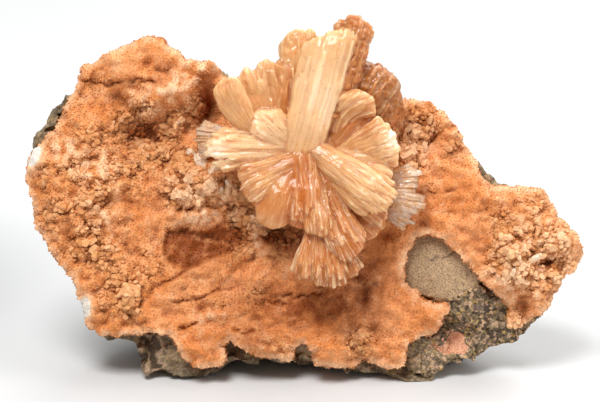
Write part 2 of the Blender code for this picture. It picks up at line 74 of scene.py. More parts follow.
# Outline of the rock's front slab
ROCK_OUTLINE = [
    (-55.0, 41.5), (-54.6, 44.5), (-52.3, 48.2), (-50.0, 49.6), (-49.6, 53.6), (-47.6, 54.4), (-46.2, 56.6),
    (-44.9, 56.7), (-43.9, 60.6), (-42.2, 62.2), (-37.4, 65.4), (-34.0, 66.4), (-30.7, 68.0), (-26.4, 67.6),
    (-25.8, 65.6), (-23.2, 64.6), (-22.8, 63.0), (-17.5, 62.8), (-15.4, 61.2), (-14.0, 59.0), (-6.0, 58.5),
    (4.0, 59.3), (14.0, 57.5), (19.5, 56.0), (25.0, 55.4), (28.9, 52.8), (31.0, 50.2), (33.2, 47.0),
    (35.4, 43.6), (36.2, 40.4), (37.2, 38.9), (42.5, 38.6), (46.5, 38.3), (48.6, 36.2), (50.4, 32.4),
    (53.4, 29.6), (55.3, 25.4), (54.6, 23.0), (52.1, 20.9), (51.3, 17.8), (49.3, 15.1), (48.2, 11.3),
    (45.4, 9.4), (41.3, 7.6), (35.2, 4.1), (32.3, 3.1), (28.2, 3.9), (26.2, 1.7), (24.6, -1.4),
    (20.0, -1.2), (15.2, 1.3), (6.0, 2.5), (-2.5, 3.5), (-7.7, 4.2), (-13.4, 3.9), (-15.0, 2.6),
    (-20.9, 0.8), (-30.1, 1.2), (-31.9, 6.4), (-32.8, 8.6), (-40.1, 8.3), (-42.8, 10.4), (-43.4, 14.7),
    (-45.4, 20.2), (-48.0, 22.4), (-50.3, 26.4), (-52.8, 30.2), (-53.6, 35.0),
]

# Outline of the crust. It runs round the bay at the lower right where the rock is bare
CRUST_OUTLINE = [
    (-54.0, 41.0), (-53.4, 43.6), (-51.2, 46.6), (-48.6, 48.8), (-46.8, 52.6), (-45.0, 55.8), (-43.2, 60.2),
    (-41.6, 61.8), (-37.0, 64.6), (-33.6, 65.8), (-30.6, 67.2), (-27.0, 66.8), (-26.2, 65.0), (-23.6, 64.0),
    (-22.9, 62.4), (-17.6, 62.2), (-15.8, 60.6), (-14.4, 58.4), (-6.0, 57.8), (4.0, 58.6), (14.0, 56.8),
    (19.4, 55.3), (24.6, 54.7), (27.8, 52.4), (29.8, 49.8), (31.6, 46.8), (33.6, 43.6), (34.6, 40.6),
    (36.4, 38.2), (42.2, 37.8), (46.2, 37.6), (48.0, 35.8), (49.8, 32.0), (52.8, 29.2), (54.6, 25.4),
    (54.0, 23.4), (50.6, 20.4), (49.2, 17.8), (47.8, 14.8), (44.8, 12.6), (41.5, 10.6), (39.9, 11.6),
    (40.5, 13.7), (39.1, 16.5), (35.6, 19.2), (32.8, 22.4), (29.1, 26.7), (27.5, 28.0), (24.8, 29.0),
    (22.1, 28.3), (20.3, 25.1), (19.5, 22.4), (19.9, 19.2), (21.9, 17.4), (23.6, 15.7), (26.2, 15.0),
    (28.3, 15.2), (28.7, 13.8), (27.0, 12.2), (26.2, 9.4), (23.4, 8.8), (21.0, 7.8), (20.1, 5.9),
    (19.6, 2.8), (15.6, 2.7), (11.9, 4.5), (9.4, 2.6), (6.0, 3.1), (2.5, 3.4), (2.1, 6.1),
    (0.1, 7.6), (-1.5, 6.5), (-2.1, 4.3), (-7.9, 4.9), (-9.9, 5.7), (-12.3, 6.7), (-14.0, 8.2),
    (-15.8, 7.1), (-14.8, 4.3), (-16.0, 3.2), (-20.1, 2.7), (-22.8, 4.1), (-24.4, 7.1), (-26.0, 9.2),
    (-29.9, 9.8), (-32.8, 9.4), (-40.0, 9.0), (-42.2, 10.9), (-42.8, 14.7), (-44.6, 20.2), (-47.0, 22.6),
    (-49.4, 26.6), (-51.8, 30.6), (-52.6, 35.2), (-54.0, 39.4),
]

# Broad relief of the rock's face, each a smooth swell or hollow: (u, v, half-width, half-height, rise)
ROCK_RELIEF = [
    (27.0, 22.0, 8.0, 7.5, 2.4),  # the bare round patch
    (44.0, 27.0, 11.0, 9.0, 2.4),  # under the right lobe
    (33.0, 11.0, 5.0, 4.0, 0.9),  # the ridge below the bare patch
    (40.0, 6.5, 9.0, 3.0, -2.2),  # falls away to the lower right
    (21.0, 3.5, 3.2, 4.0, 1.6),  # the right foot
    (-29.5, 48.0, 8.0, 5.6, -4.6),  # the left hollow
    (-18.3, 53.5, 3.4, 5.0, -3.4),  # the cleft beside the spray
    (-19.5, 28.6, 9.0, 3.8, -2.2),  # the recessed terrace
    (-5.4, 30.0, 4.4, 3.0, -2.0),  # the pit beside the lower fan
    (24.5, 48.4, 6.2, 6.2, -3.4),  # the upper right hollow
    (8.0, 16.0, 12.0, 5.0, -1.4),  # the valley under the spray
]

# How much thicker or thinner the crust is than its even coat, in the same form
CRUST_RELIEF = [
    (-30.0, 64.0, 13.0, 5.0, 2.6),  # top ridge of the upper left lobe
    (-38.0, 57.0, 7.0, 5.0, -1.0),  # the smooth slope under it
    (-20.0, 58.5, 7.0, 4.6, 3.0),  # shelf above the dark cleft
    (-26.0, 55.6, 8.0, 2.4, 2.2),  # its left end over the hollow
    (-18.3, 53.5, 2.2, 4.2, -2.6),  # the cleft's bottom
    (-32.0, 48.8, 2.8, 2.2, -2.4),  # deepest hole of the left hollow
    (-45.0, 45.0, 8.0, 6.5, 1.8),  # rough lumps at the left
    (-19.0, 38.4, 8.0, 2.6, 2.4),  # pale ridge below the hollow
    (-36.0, 38.0, 6.0, 4.0, 1.2),  # smooth swell left of it
    (-23.0, 32.2, 6.0, 1.4, 1.8),  # lip over the terrace
    (-5.4, 30.0, 3.0, 2.2, -1.2),  # the pit's bottom
    (30.0, 37.0, 7.0, 4.0, 0.8),  # the plateau right of the spray
    (43.5, 27.5, 12.0, 10.0, 3.2),  # the right lobe
    (47.5, 23.3, 3.2, 1.8, -3.0),  # a small pocket in the lobe
    (42.0, 14.3, 2.4, 2.8, -3.0),  # the lobe's lower pocket
    (16.5, 15.0, 2.2, 6.0, 1.4),  # the rib right of the valley
    (-37.0, 18.0, 12.0, 9.0, 1.4),  # swell at the lower left
    (-6.0, 7.5, 24.0, 3.6, 1.2),  # the lip along the bottom
]

# How rough the druse is, from 0 for sugary to 1 for lumpy: (u, v, half-width, half-height, amount)
ROUGH_PATCHES = [
    (-36.0, 17.0, 6.0, 8.0, 0.3),
    (-12.0, 17.0, 9.0, 3.0, 0.16),
    (-4.0, 8.0, 5.0, 3.0, 0.2),
    (12.0, 7.5, 4.5, 4.0, 0.45),
    (-25.0, 56.5, 5.5, 3.2, -0.6),
    (-19.0, 36.5, 6.0, 2.5, 0.3),
    (-29.0, 48.0, 11.0, 8.0, 0.75),  # the left hollow
    (-45.0, 38.0, 9.0, 11.0, 0.6),  # lumps at the left
    (-17.0, 37.0, 11.0, 4.5, 0.85),  # the pale ridge
    (-7.0, 30.0, 7.0, 5.5, 0.9),  # round the pit
    (45.0, 26.0, 11.0, 10.0, 0.75),  # the right lobe
    (23.6, 47.4, 7.0, 7.0, 0.95),  # the upper right hollow
    (-22.0, 57.0, 7.0, 5.0, 0.35),  # the shelf
    (-38.0, 22.0, 10.0, 9.0, 0.45),  # the lower left
    (40.0, 14.0, 4.0, 5.0, 0.4),  # the lobe's lower pocket
]

# Where the crust is pale, in the same form. Some of it is painted light: on the shelf and below the hollow,
# where the crust lies in shade
PALE_AND_LIT_PATCHES = [
    # painted light below the hollow, where the crystals lie in shade
    (-21.5, 37.8, 3.6, 2.2, 0.6),
    # painted light on the shelf, which lies in shade
    (-25.0, 57.0, 5.0, 3.0, 0.6),
    (-19.5, 36.8, 6.0, 2.0, 0.35),
    (-41.0, 42.4, 4.6, 2.6, 0.8),
    (-38.6, 32.6, 2.6, 4.2, 0.7),
    (-46.6, 45.4, 3.6, 2.0, 0.7),
    (-31.2, 54.0, 3.4, 2.6, 0.6),
    # painted light on the shelf's top
    (-18.8, 60.4, 5.4, 2.2, 0.6),  # the shelf's top
    (-19.6, 37.6, 5.6, 3.0, 0.85),
    (-19.0, 31.9, 5.6, 1.5, 1.0),  # the lip over the terrace
    (-8.0, 29.0, 3.0, 4.0, 0.8),
    (-18.4, 13.0, 3.4, 1.6, 0.5),
    (23.6, 46.6, 3.6, 4.6, 0.55),
    (46.0, 24.0, 9.0, 9.0, 0.6),
    (38.0, 16.0, 3.4, 6.0, 0.5),
    (-7.0, 7.4, 4.0, 1.2, 0.4),
    (16.0, 4.4, 3.6, 1.6, 0.4),
]

# Smooth white chips at the rim, where no crystals grew
CHIPS = [
    (-53.2, 45.2, 2.4, 3.6, 2.2),
    (-42.2, 14.6, 1.3, 2.6, 1.8),
]
CHIP_PALE = 0.93  # a paleness that only the chips reach

# Where the crust is stained a red brown, and where it is darkened as painted shade: in the pit, the hole, the
# cleft and, over a stain, under the spray
STAIN_AND_SHADE_PATCHES = [
    (13.5, 7.0, 4.0, 3.4, 0.3),
    (-20.4, 26.6, 6.6, 3.4, 0.6),  # the recessed terrace
    (-14.6, 28.0, 4.0, 3.0, 0.5),
    # painted shade: the pit, and the hole and the cleft below, are darkened for the shade in them
    (-4.0, 29.0, 3.2, 2.8, 0.9),  # the pit
    # a red brown stain under the spray, darkened further as the spray's painted shadow
    (0.0, 14.6, 13.0, 5.0, 0.85),  # under the spray
    (12.0, 20.0, 5.0, 7.0, 0.45),
    (-12.0, 8.0, 5.0, 2.4, 0.5),
    (-32.0, 48.8, 3.4, 2.4, 1.0),  # the hole in the left hollow
    (-18.8, 53.8, 1.6, 4.4, 1.2),  # the cleft
    (-10.0, 36.0, 3.0, 3.0, 0.5),
    (24.0, 48.0, 5.0, 5.0, 0.25),
    (-16.0, 30.0, 3.0, 2.0, 0.4),
]

# The recessed terrace steps down inside this outline
TERRACE_OUTLINE = [
    (-26.9, 30.0), (-22.6, 30.6), (-18.5, 29.4), (-15.4, 30.2), (-11.6, 30.4), (-10.8, 26.8), (-13.9, 25.0),
    (-18.5, 23.3), (-22.6, 21.4), (-25.1, 21.8), (-27.5, 25.3),
]
TERRACE_DEPTH = 1.5
TERRACE_WALL = 0.9

# Deep pits between the druse crystals, as (u, v, half-width, half-height, depth). They are also painted
# darker as shade
PITS = [
    (-31.2, 48.6, 1.5, 1.3, 1.8), (-28.6, 46.9, 1.0, 0.8, 1.4), (-33.6, 46.6, 0.9, 0.8, 1.4),
    (43.2, 14.6, 1.0, 1.6, 2.0), (-6.6, 27.8, 1.4, 1.0, 1.6), (-17.2, 24.9, 1.0, 0.6, 1.0),
]
CRUST_OVER_ROCK = 1.9  # mm of crust left at the bottom of a pit

# Cracks where one ledge of the crust steps over another, each a run of points (u, v). They are painted dark
# as the shade under each ledge
LEDGE_CRACKS = [
    [(-29.4, 18.2), (-25.0, 20.2), (-21.0, 22.9), (-17.0, 25.0)],
    [(-25.4, 15.8), (-20.6, 16.2), (-16.6, 17.8), (-12.8, 18.4)],
    [(-24.2, 10.4), (-22.4, 10.8), (-20.6, 11.6)],
    [(-7.6, 15.9), (-5.2, 15.2), (-3.2, 15.0)],
    [(-13.4, 10.4), (-11.4, 9.4), (-9.4, 9.9)],
    [(-42.4, 59.0), (-37.4, 58.0), (-33.5, 58.8), (-28.7, 58.4)],
    [(24.4, 37.0), (27.6, 37.0), (31.0, 37.9)],
    [(-4.8, 17.3), (-1.0, 16.8), (3.4, 17.1)],
    [(-22.0, 33.9), (-17.0, 34.4), (-12.4, 34.0)],
    [(-52.0, 33.0), (-48.4, 33.8), (-45.6, 33.0)],
]
PALE_RIM = 0.95  # mm of pale edge round the crust
CRACK_DEPTH = 0.9  # mm, as the width
CRACK_WIDTH = 0.36
# how dark the painted shade in the cracks is
CRACK_SHADE = 0.85


# The rock's bare round patch, and a crack across it
BARE_OUTLINE = [
    (22.8, 29.6), (28.4, 29.2), (33.4, 24.4), (35.4, 19.4), (32.1, 17.6), (29.0, 16.1), (25.9, 15.3),
    (23.0, 16.4), (18.5, 18.0), (17.9, 23.5), (19.5, 27.8),
]
PATCH_CRACK = [(25.0, 23.8), (26.4, 24.4), (27.3, 23.9), (28.6, 24.4), (30.0, 25.6), (31.4, 26.4)]
PATCH_CRACK_WIDTH = 0.36

# Dark streaks on the left foot, each a run of points (u, v)
FOOT_STREAKS = [
    [(-31.6, 8.4), (-29.4, 6.6), (-27.4, 4.0), (-25.8, 2.6)],
    [(-29.0, 8.4), (-27.8, 6.4)],
    [(-31.4, 5.6), (-30.0, 3.6)],
]
STREAK_WIDTH = 0.75
STREAK_BACK = -8.0  # they reach back this far, w in mm
FOOT_TOE = (-27.0, 1.2, 5.0, 3.6, -3.6)  # draws the foot's toe out to the left, as far as its outline

# A pink vein on the broken face: where it lies on the plate, and one over its half-width and half-height
VEIN_AT = (29.6, 7.4, 0.0)
VEIN_SHARE = (0.42, 0.5, 0.0)

# Where the broken rock is light tan, as (u, v, half-width, half-height, amount). The first patch is painted
# light: it lightens the notch under the crust's lip, which lies in shade
TAN_AND_LIT_PATCHES = [(-0.1, 4.8, 3.0, 2.6, 0.9), (-21.0, 5.0, 3.0, 2.4, 0.4), (20.0, 6.0, 4.0, 3.0, 0.25)]

# How the rock's solid is dressed, in mm
SLAB_BACK = -3.0  # its face and the marks on it lie in front of this, w
FACE_BLEND = 1.2  # behind the face, its relief fades out over this depth
BARE_BLEND = 0.6  # width of the bare patch's edge
BARE_SMOOTH = 0.9  # share of the roughness that the bare patch lacks
FLAT_FOOT, FOOT_BLEND = 0.2, 1.2  # the foot stays flat up to here, and the roughness comes in over the next
GRAIN_SIZE = 0.6

# Where the broken rock shows coarse grains, in the vein's form
COARSE_AT = (34.0, 10.0, 0.0)
COARSE_SHARE = (0.07, 0.09, 0.1)


# The plate's relief


def swells(relief, u, v):
    """Height of a list of smooth swells and hollows at points of the plate."""
    total = np.zeros_like(u)
    for cu, cv, ru, rv, rise in relief:
        total += rise * np.exp(-(((u - cu) / ru) ** 2) - ((v - cv) / rv) ** 2)
    return total


def each_point(function, u, v):
    """An array of function(u, v) for arrays of points."""
    return np.array([function(a, b) for a, b in zip(u.ravel(), v.ravel())]).reshape(u.shape)


def nearest_on(path, u, v):
    """For each point of the plate the distance to a path, and the nearest point on it."""
    nearest = np.full(u.shape, 1e9)
    at_u, at_v = np.zeros_like(u), np.zeros_like(v)
    for (au, av), (bu, bv) in zip(path, path[1:]):
        du, dv = bu - au, bv - av
        along = np.clip(((u - au) * du + (v - av) * dv) / (du * du + dv * dv), 0.0, 1.0)
        pu, pv = au + along * du, av + along * dv
        distance = np.hypot(u - pu, v - pv)
        closer = distance < nearest
        nearest[closer], at_u[closer], at_v[closer] = distance[closer], pu[closer], pv[closer]
    return nearest, at_u, at_v


def inside(outline, u, v):
    """Which points of the plate lie in an outline."""
    within = np.zeros(u.shape, bool)
    for (au, av), (bu, bv) in zip(outline, outline[1:] + outline[:1]):
        if av == bv:
            continue
        crossed = (av > v) != (bv > v)
        within ^= crossed & (u < au + (v - av) * (bu - au) / (bv - av))
    return within


def closed_path(outline):
    return outline + outline[:1]


# Noise over the plate, each kind on a layer of its own: (layer, size in mm, how fast its finer noise fades,
# how much finer that gets, how many octaves), with the height in mm of what it shapes
RIPPLES, RIPPLE_HEIGHT = (4.0, 9.0, 1.0, 2.0, 3), 0.5
BREAKS, BREAK_HEIGHT = (9.0, 5.0, 0.9, 2.2, 2), 1.6
LUMPS, LUMP_HEIGHT = (0.0, 13.0, 0.9, 2.1, 4), 2.2
GRAIN, GRAIN_HEIGHT = (7.0, 5.2, 0.8, 2.1, 2), 1.3
ROUGH_CLOUDS = (5.0, 6.0, 0.9, 2.0, 2)
TERRACE_CLOUDS = (1.0, 2.6, 0.8, 2.0, 2)
MOTTLE = (2.0, 2.2, 0.8, 2.0, 3)
GRAIN_SQUASH = 1.5  # how much flatter than wide the grain is
BROKEN_AT = (36.0, 11.0, 13.0, 9.0, 1.0)  # where the rock's face is broken, in the relief's form
EDGE_DROP = 1.9  # mm that the crust falls at its rim
CRACK_STRAY, CRACK_GAPS = 0.8, 1.6  # how far the ledge cracks wander, and how much they break off


def wander(u, v, layer, size):
    """Smooth noise over the plate, in blobs of about that size in millimetres."""
    return each_point(lambda a, b: noise.noise(Vector((a, b, layer)) / size), u, v)


def clouds(u, v, layer, size, *fractal):
    """The same with finer noise in it."""
    return each_point(lambda a, b: noise.fractal(Vector((a, b, layer)) / size, *fractal), u, v)


def rock_height(u, v):
    """Height of the rock's face over the plate, as in the solids."""
    broken = BREAK_HEIGHT * swells([BROKEN_AT], u, v) * clouds(u, v, *BREAKS)
    return swells(ROCK_RELIEF, u, v) + RIPPLE_HEIGHT * clouds(u, v, *RIPPLES) + broken


def crust_height(u, v, rock):
    """Height of the crust's face over the plate, as in the solids."""
    lumps = LUMP_HEIGHT * clouds(u, v, *LUMPS)
    grain = GRAIN_HEIGHT * clouds(u, v * GRAIN_SQUASH, *GRAIN)
    rim, _, _ = nearest_on(closed_path(CRUST_OUTLINE), u, v)
    inward = np.minimum(1.0, rim / EDGE_ROUND)
    dropped = EDGE_DROP * (1.0 - np.sqrt(1.0 - (1.0 - inward) ** 2))
    thickness = CRUST_THICKNESS + swells(CRUST_RELIEF, u, v) + lumps + grain - dropped
    return rock + np.maximum(CRUST_LEAST, thickness)


def lump(p):
    """Height on rounded lumps about 1 wide, from -0.5 in the cracks between them to 0.5 on top."""
    return 0.5 - min(1.0, noise.voronoi(p)[0][0] * 1.25) ** 2


def blurred(field, passes):
    """The field averaged with its neighbours."""
    for _ in range(passes):
        padded = np.pad(field, 1, mode="edge")
        total = padded[1:-1, 1:-1] * 2 + padded[:-2, 1:-1] + padded[2:, 1:-1]
        field = (total + padded[1:-1, :-2] + padded[1:-1, 2:]) / 6.0
    return field


def lumpy(u, v, layer, size):
    """Rounded lumps of about that size in millimetres over the plate."""
    return each_point(lambda a, b: lump(Vector((a / size, b / size, layer))), u, v)


def crack_field(u, v):
    """1 on the dark ledge cracks, and 0 away from them. The cracks wander and break off."""
    stray = CRACK_STRAY * wander(u, v, 3.0, 1.1)
    broken = wander(u, v, 8.0, 2.4)
    found = np.zeros_like(u)
    for path in LEDGE_CRACKS:
        distance, _, _ = nearest_on(path, u + stray, v + stray)
        found = np.maximum(found, np.exp(-((distance / CRACK_WIDTH) ** 2)))
    return found * np.clip(1.0 + CRACK_GAPS * broken, 0.0, 1.0)


# Meshes


def in_order(bm):
    """Sorts the mesh by place, because Blender may number new parts another way at each run."""
    bm.verts.sort(key=lambda vert: vert.co.dot(SORT_ALONG))
    bm.edges.sort(key=lambda edge: (edge.verts[0].co + edge.verts[1].co).dot(SORT_ALONG))
    bm.faces.sort(key=lambda face: face.calc_center_median().dot(SORT_ALONG))


def mesh_data(name, bm):
    """The bmesh as mesh data. The bmesh is freed."""
    mesh = bpy.data.meshes.new(name)
    bm.to_mesh(mesh)
    bm.free()
    return mesh


def linked(name, data):
    """A new object in the scene."""
    obj = bpy.data.objects.new(name, data)
    bpy.context.scene.collection.objects.link(obj)
    return obj


def finished_object(name, bm, smooth_under=None):
    """The piece as a mesh object, stood upright in its place."""
    in_order(bm)
    return placed(name, mesh_data(name, bm), smooth_under)


def placed(name, mesh, smooth_under=None):
    mesh.transform(PLATE)
    mesh.name = name
    obj = linked(name, mesh)
    mesh.shade_flat()
    if smooth_under is not None:
        mesh.shade_smooth()
        mesh.set_sharp_from_angle(angle=math.radians(smooth_under))
    return obj


def evaluated_mesh(obj):
    """The object's mesh with its modifiers applied, as a new mesh. The object is removed."""
    bpy.context.view_layer.update()
    graph = bpy.context.evaluated_depsgraph_get()
    mesh = bpy.data.meshes.new_from_object(obj.evaluated_get(graph))
    bpy.data.objects.remove(obj)
    return mesh


def working_object(name, bm):
    """A helper object in millimetres on the plate, to be replaced by its evaluated mesh."""
    in_order(bm)
    return linked(name, mesh_data(name, bm))


def remeshed(name, bm, voxel):
    """The same form in small even faces."""
    obj = working_object(name, bm)
    remesh = obj.modifiers.new("Remesh", "REMESH")
    remesh.mode = "VOXEL"
    remesh.voxel_size = voxel
    mesh = evaluated_mesh(obj)
    fine = bmesh.new()
    fine.from_mesh(mesh)
    bpy.data.meshes.remove(mesh)
    return fine


def merged(whole, parts):
    """Puts several bmeshes in one, with their attributes."""
    for bm in parts:
        mesh = mesh_data("part", bm)
        whole.from_mesh(mesh)
        bpy.data.meshes.remove(mesh)
    return whole


def only(kind, parts):
    """The vertices, or the faces, among what an operator made."""
    return [part for part in parts if isinstance(part, kind)]


def rim_extruded(bm):
    """Extrudes the open rim and gives its new vertices."""
    rim = [edge for edge in bm.edges if edge.is_boundary]
    return only(bmesh.types.BMVert, bmesh.ops.extrude_edge_only(bm, edges=rim)["geom"])


def smoothed(bm, times):
    for _ in range(times):
        bmesh.ops.smooth_vert(
            bm, verts=bm.verts, factor=0.5, use_axis_x=True, use_axis_y=True, use_axis_z=True
        )


def hand_over(obj, slot, *nodes):
    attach(obj, "root")
    if nodes:
        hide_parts(*nodes)


# Shader helpers


def paint(red, green, blue):
    """A colour from 8-bit display values."""
    return tuple(
        (c / 255.0 / 12.92) if c <= 10 else ((c / 255.0 + 0.055) / 1.055) ** 2.4 for c in (red, green, blue)
    )


def add_node(tree, kind, inputs=None, **settings):
    """A node with its settings, and with its inputs either linked or set."""
    node = tree.nodes.new(kind)
    for key, value in settings.items():
        setattr(node, key, value)
    for key, value in (inputs or {}).items():
        socket = node.inputs[key]
        if isinstance(value, bpy.types.NodeSocket):
            tree.links.new(value, socket)
        elif isinstance(value, tuple) and socket.type == "RGBA" and len(value) == 3:
            socket.default_value = (*value, 1.0)
        else:
            socket.default_value = value
    return node


def mixed(tree, factor, first, second, blend="MIX"):
    """A colour between two."""
    made = {0: factor, 6: first, 7: second}
    return add_node(tree, "ShaderNodeMix", made, data_type="RGBA", blend_type=blend).outputs[2]


def calculated(tree, operation, first, second=0.0):
    return add_node(tree, "ShaderNodeMath", {0: first, 1: second}, operation=operation).outputs[0]


def ranged(tree, value, low, high, to_low=0.0, to_high=1.0):
    """The value's range low to high stretched to another."""
    made = {"Value": value, "From Min": low, "From Max": high, "To Min": to_low, "To Max": to_high}
    return add_node(tree, "ShaderNodeMapRange", made, clamp=True).outputs[0]


def layered(tree, colour, layers, within=None):
    """Colours laid over one another: each (value, low, high, share, colour) grows to its share as the value
    goes from low to high. A mask holds all of them back."""
    for value, low, high, share, over in layers:
        shown = ranged(tree, value, low, high, 0.0, share)
        if within is not None:
            shown = calculated(tree, "MULTIPLY", shown, within)
        colour = mixed(tree, shown, colour, over)
    return colour


def plate_place(tree):
    """Object coordinates turned back to millimetres on the plate."""
    back = PLATE.inverted()
    made = {
        "Vector": add_node(tree, "ShaderNodeTexCoord").outputs["Object"],
        "Location": tuple(back.to_translation()),
        "Rotation": tuple(back.to_euler()),
        "Scale": (1.0 / MM, 1.0 / MM, 1.0 / MM),
    }
    return add_node(tree, "ShaderNodeMapping", made).outputs[0]


def noise_value(tree, place, size, detail=3.0, roughness=0.55, distortion=0.0):
    """Soft noise whose blobs are about this size in millimetres."""
    made = {"Vector": place, "Scale": 1.0 / size}
    made |= {"Detail": detail, "Roughness": roughness, "Distortion": distortion}
    return add_node(tree, "ShaderNodeTexNoise", made).outputs["Fac"]


def attribute_value(tree, name):
    return add_node(tree, "ShaderNodeAttribute", attribute_name=name).outputs["Fac"]


def new_material(name, finish):
    """A material and its Principled shader, with the finish's constants on its sockets."""
    material = bpy.data.materials.new(name)
    material.use_nodes = True
    shader = material.node_tree.nodes["Principled BSDF"]
    for socket, value in finish.items():
        shader.inputs[socket].default_value = value
    return material, material.node_tree, shader


def bumped(tree, shader, height, strength, distance):
    made = {"Height": height, "Strength": strength, "Distance": distance}
    tree.links.new(add_node(tree, "ShaderNodeBump", made).outputs[0], shader.inputs["Normal"])


def shader_group(name, inputs, outputs):
    """A new shader node group with named sockets, and its input and output nodes."""
    tree = bpy.data.node_groups.new(name, "ShaderNodeTree")
    for in_out, sockets in (("INPUT", inputs), ("OUTPUT", outputs)):
        for socket, kind in sockets.items():
            tree.interface.new_socket(name=socket, in_out=in_out, socket_type="NodeSocket" + kind)
    return tree, tree.nodes.new("NodeGroupInput"), tree.nodes.new("NodeGroupOutput")


def speckle_group():
    """Darkens and lightens a colour in fine specks, and gives the specks as a height."""
    inputs = {
        "Colour": "Color", "Place": "Vector",
        "Specks per mm": "Float", "Darkest": "Float", "Lightest": "Float",
    }
    tree, given, made = shader_group("speckle", inputs, {"Colour": "Color", "Specks": "Float"})
    sockets = {"Vector": given.outputs["Place"], "Scale": given.outputs["Specks per mm"]}
    sockets |= {"Detail": 2.0, "Roughness": 0.6}
    specks = add_node(tree, "ShaderNodeTexNoise", sockets).outputs["Fac"]
    shade = ranged(tree, specks, 0.36, 0.63, given.outputs["Darkest"], given.outputs["Lightest"])
    shade = add_node(tree, "ShaderNodeCombineColor", {"Red": shade, "Green": shade, "Blue": shade}).outputs[0]
    tree.links.new(mixed(tree, 1.0, given.outputs["Colour"], shade, "MULTIPLY"), made.inputs["Colour"])
    tree.links.new(specks, made.inputs["Specks"])
    return tree


def streak_group():
    """Streaks that run along the crystals, one finer than the other."""
    inputs = {"Stretch": "Float", "Drift": "Float"}
    tree, given, made = shader_group("streaks", inputs, {"Broad": "Float", "Fine": "Float"})
    along = calculated(tree, "MULTIPLY", attribute_value(tree, "along"), given.outputs["Stretch"])
    sockets = {"X": attribute_value(tree, "across"), "Y": along, "Z": given.outputs["Drift"]}
    ribs = add_node(tree, "ShaderNodeCombineXYZ", sockets).outputs[0]
    tree.links.new(noise_value(tree, ribs, 0.5, 2.0, 0.5), made.inputs["Broad"])
    tree.links.new(noise_value(tree, ribs, 0.22, 2.0, 0.6), made.inputs["Fine"])
    return tree


def reach_group():
    """How far a point is from a middle, where 1 is one over the share in each direction."""
    inputs = {"Place": "Vector", "Middle": "Vector", "Share": "Vector"}
    tree, given, made = shader_group("reach", inputs, {"Distance": "Float"})
    sockets = {0: given.outputs["Place"], 1: given.outputs["Middle"]}
    away = add_node(tree, "ShaderNodeVectorMath", sockets, operation="SUBTRACT").outputs[0]
    sockets = {0: away, 1: given.outputs["Share"]}
    scaled = add_node(tree, "ShaderNodeVectorMath", sockets, operation="MULTIPLY").outputs[0]
    distance = add_node(tree, "ShaderNodeVectorMath", {0: scaled}, operation="LENGTH").outputs["Value"]
    tree.links.new(distance, made.inputs["Distance"])
    return tree


GROUPS = {"speckle": speckle_group, "streaks": streak_group, "reach": reach_group}


def grouped(tree, name, inputs):
    """The shared node group of that name, placed in a material with its own values."""
    group = bpy.data.node_groups.get(name) or GROUPS[name]()
    return add_node(tree, "ShaderNodeGroup", inputs, node_tree=group).outputs


def reach(tree, place, at, share):
    return grouped(tree, "reach", {"Place": place, "Middle": at, "Share": share})["Distance"]


# What a user would change


def spacing_property(name, description, default):
    return FloatProperty(
        name=name, description=description, default=default * MM, min=0.1 * MM, precision=5, unit="LENGTH"
    )


class StilbiteSizes(bpy.types.PropertyGroup):
    crust_cell: spacing_property("Crust cell", "Spacing of the crust's mesh", 0.36)
    rock_voxel: spacing_property("Rock voxel", "Spacing of the rock's mesh", 0.48)
    spray_voxel: spacing_property("Spray voxel", "Spacing of the spray's mesh", 0.25)
    grain_spacing: spacing_property("Grain spacing", "Least distance between druse crystals", 0.51)
    coarse_spacing: spacing_property("Coarse spacing", "Least distance between coarse crystals", 0.85)
    seed: IntProperty(name="Seed", description="Changes how the crystals are strewn", default=4, min=0)


def colour_property(name, description, red, green, blue):
    return FloatVectorProperty(
        name=name, description=description, subtype="COLOR", min=0.0, max=1.0, default=paint(red, green, blue)
    )


class StilbiteColours(bpy.types.PropertyGroup):
    druse: colour_property("Druse", "The crust's salmon orange", 230, 156, 100)
    druse_tan: colour_property("Tan druse", "Its lumpy tan parts", 222, 166, 108)
    druse_pale: colour_property("Pale druse", "Its pale pink patches", 248, 206, 164)
    druse_deep: colour_property("Deep druse", "Its rusty orange", 216, 134, 72)
    # the brown of the real stains, and of the painted shade in cracks, hollows, pits and under the spray
    stain_and_shade: colour_property("Stain", "The brown of cracks and recesses", 136, 60, 4)
    basalt: colour_property("Basalt", "The rock's grey green", 154, 132, 102)
    basalt_tan: colour_property("Tan basalt", "The bare round patch", 190, 158, 120)
    cream: colour_property("Cream", "The spray's pale ridges", 242, 204, 158)
    peach: colour_property("Peach", "The spray's body", 206, 154, 102)
    amber: colour_property("Amber", "The spray's deep recesses", 184, 94, 0)


# Rock


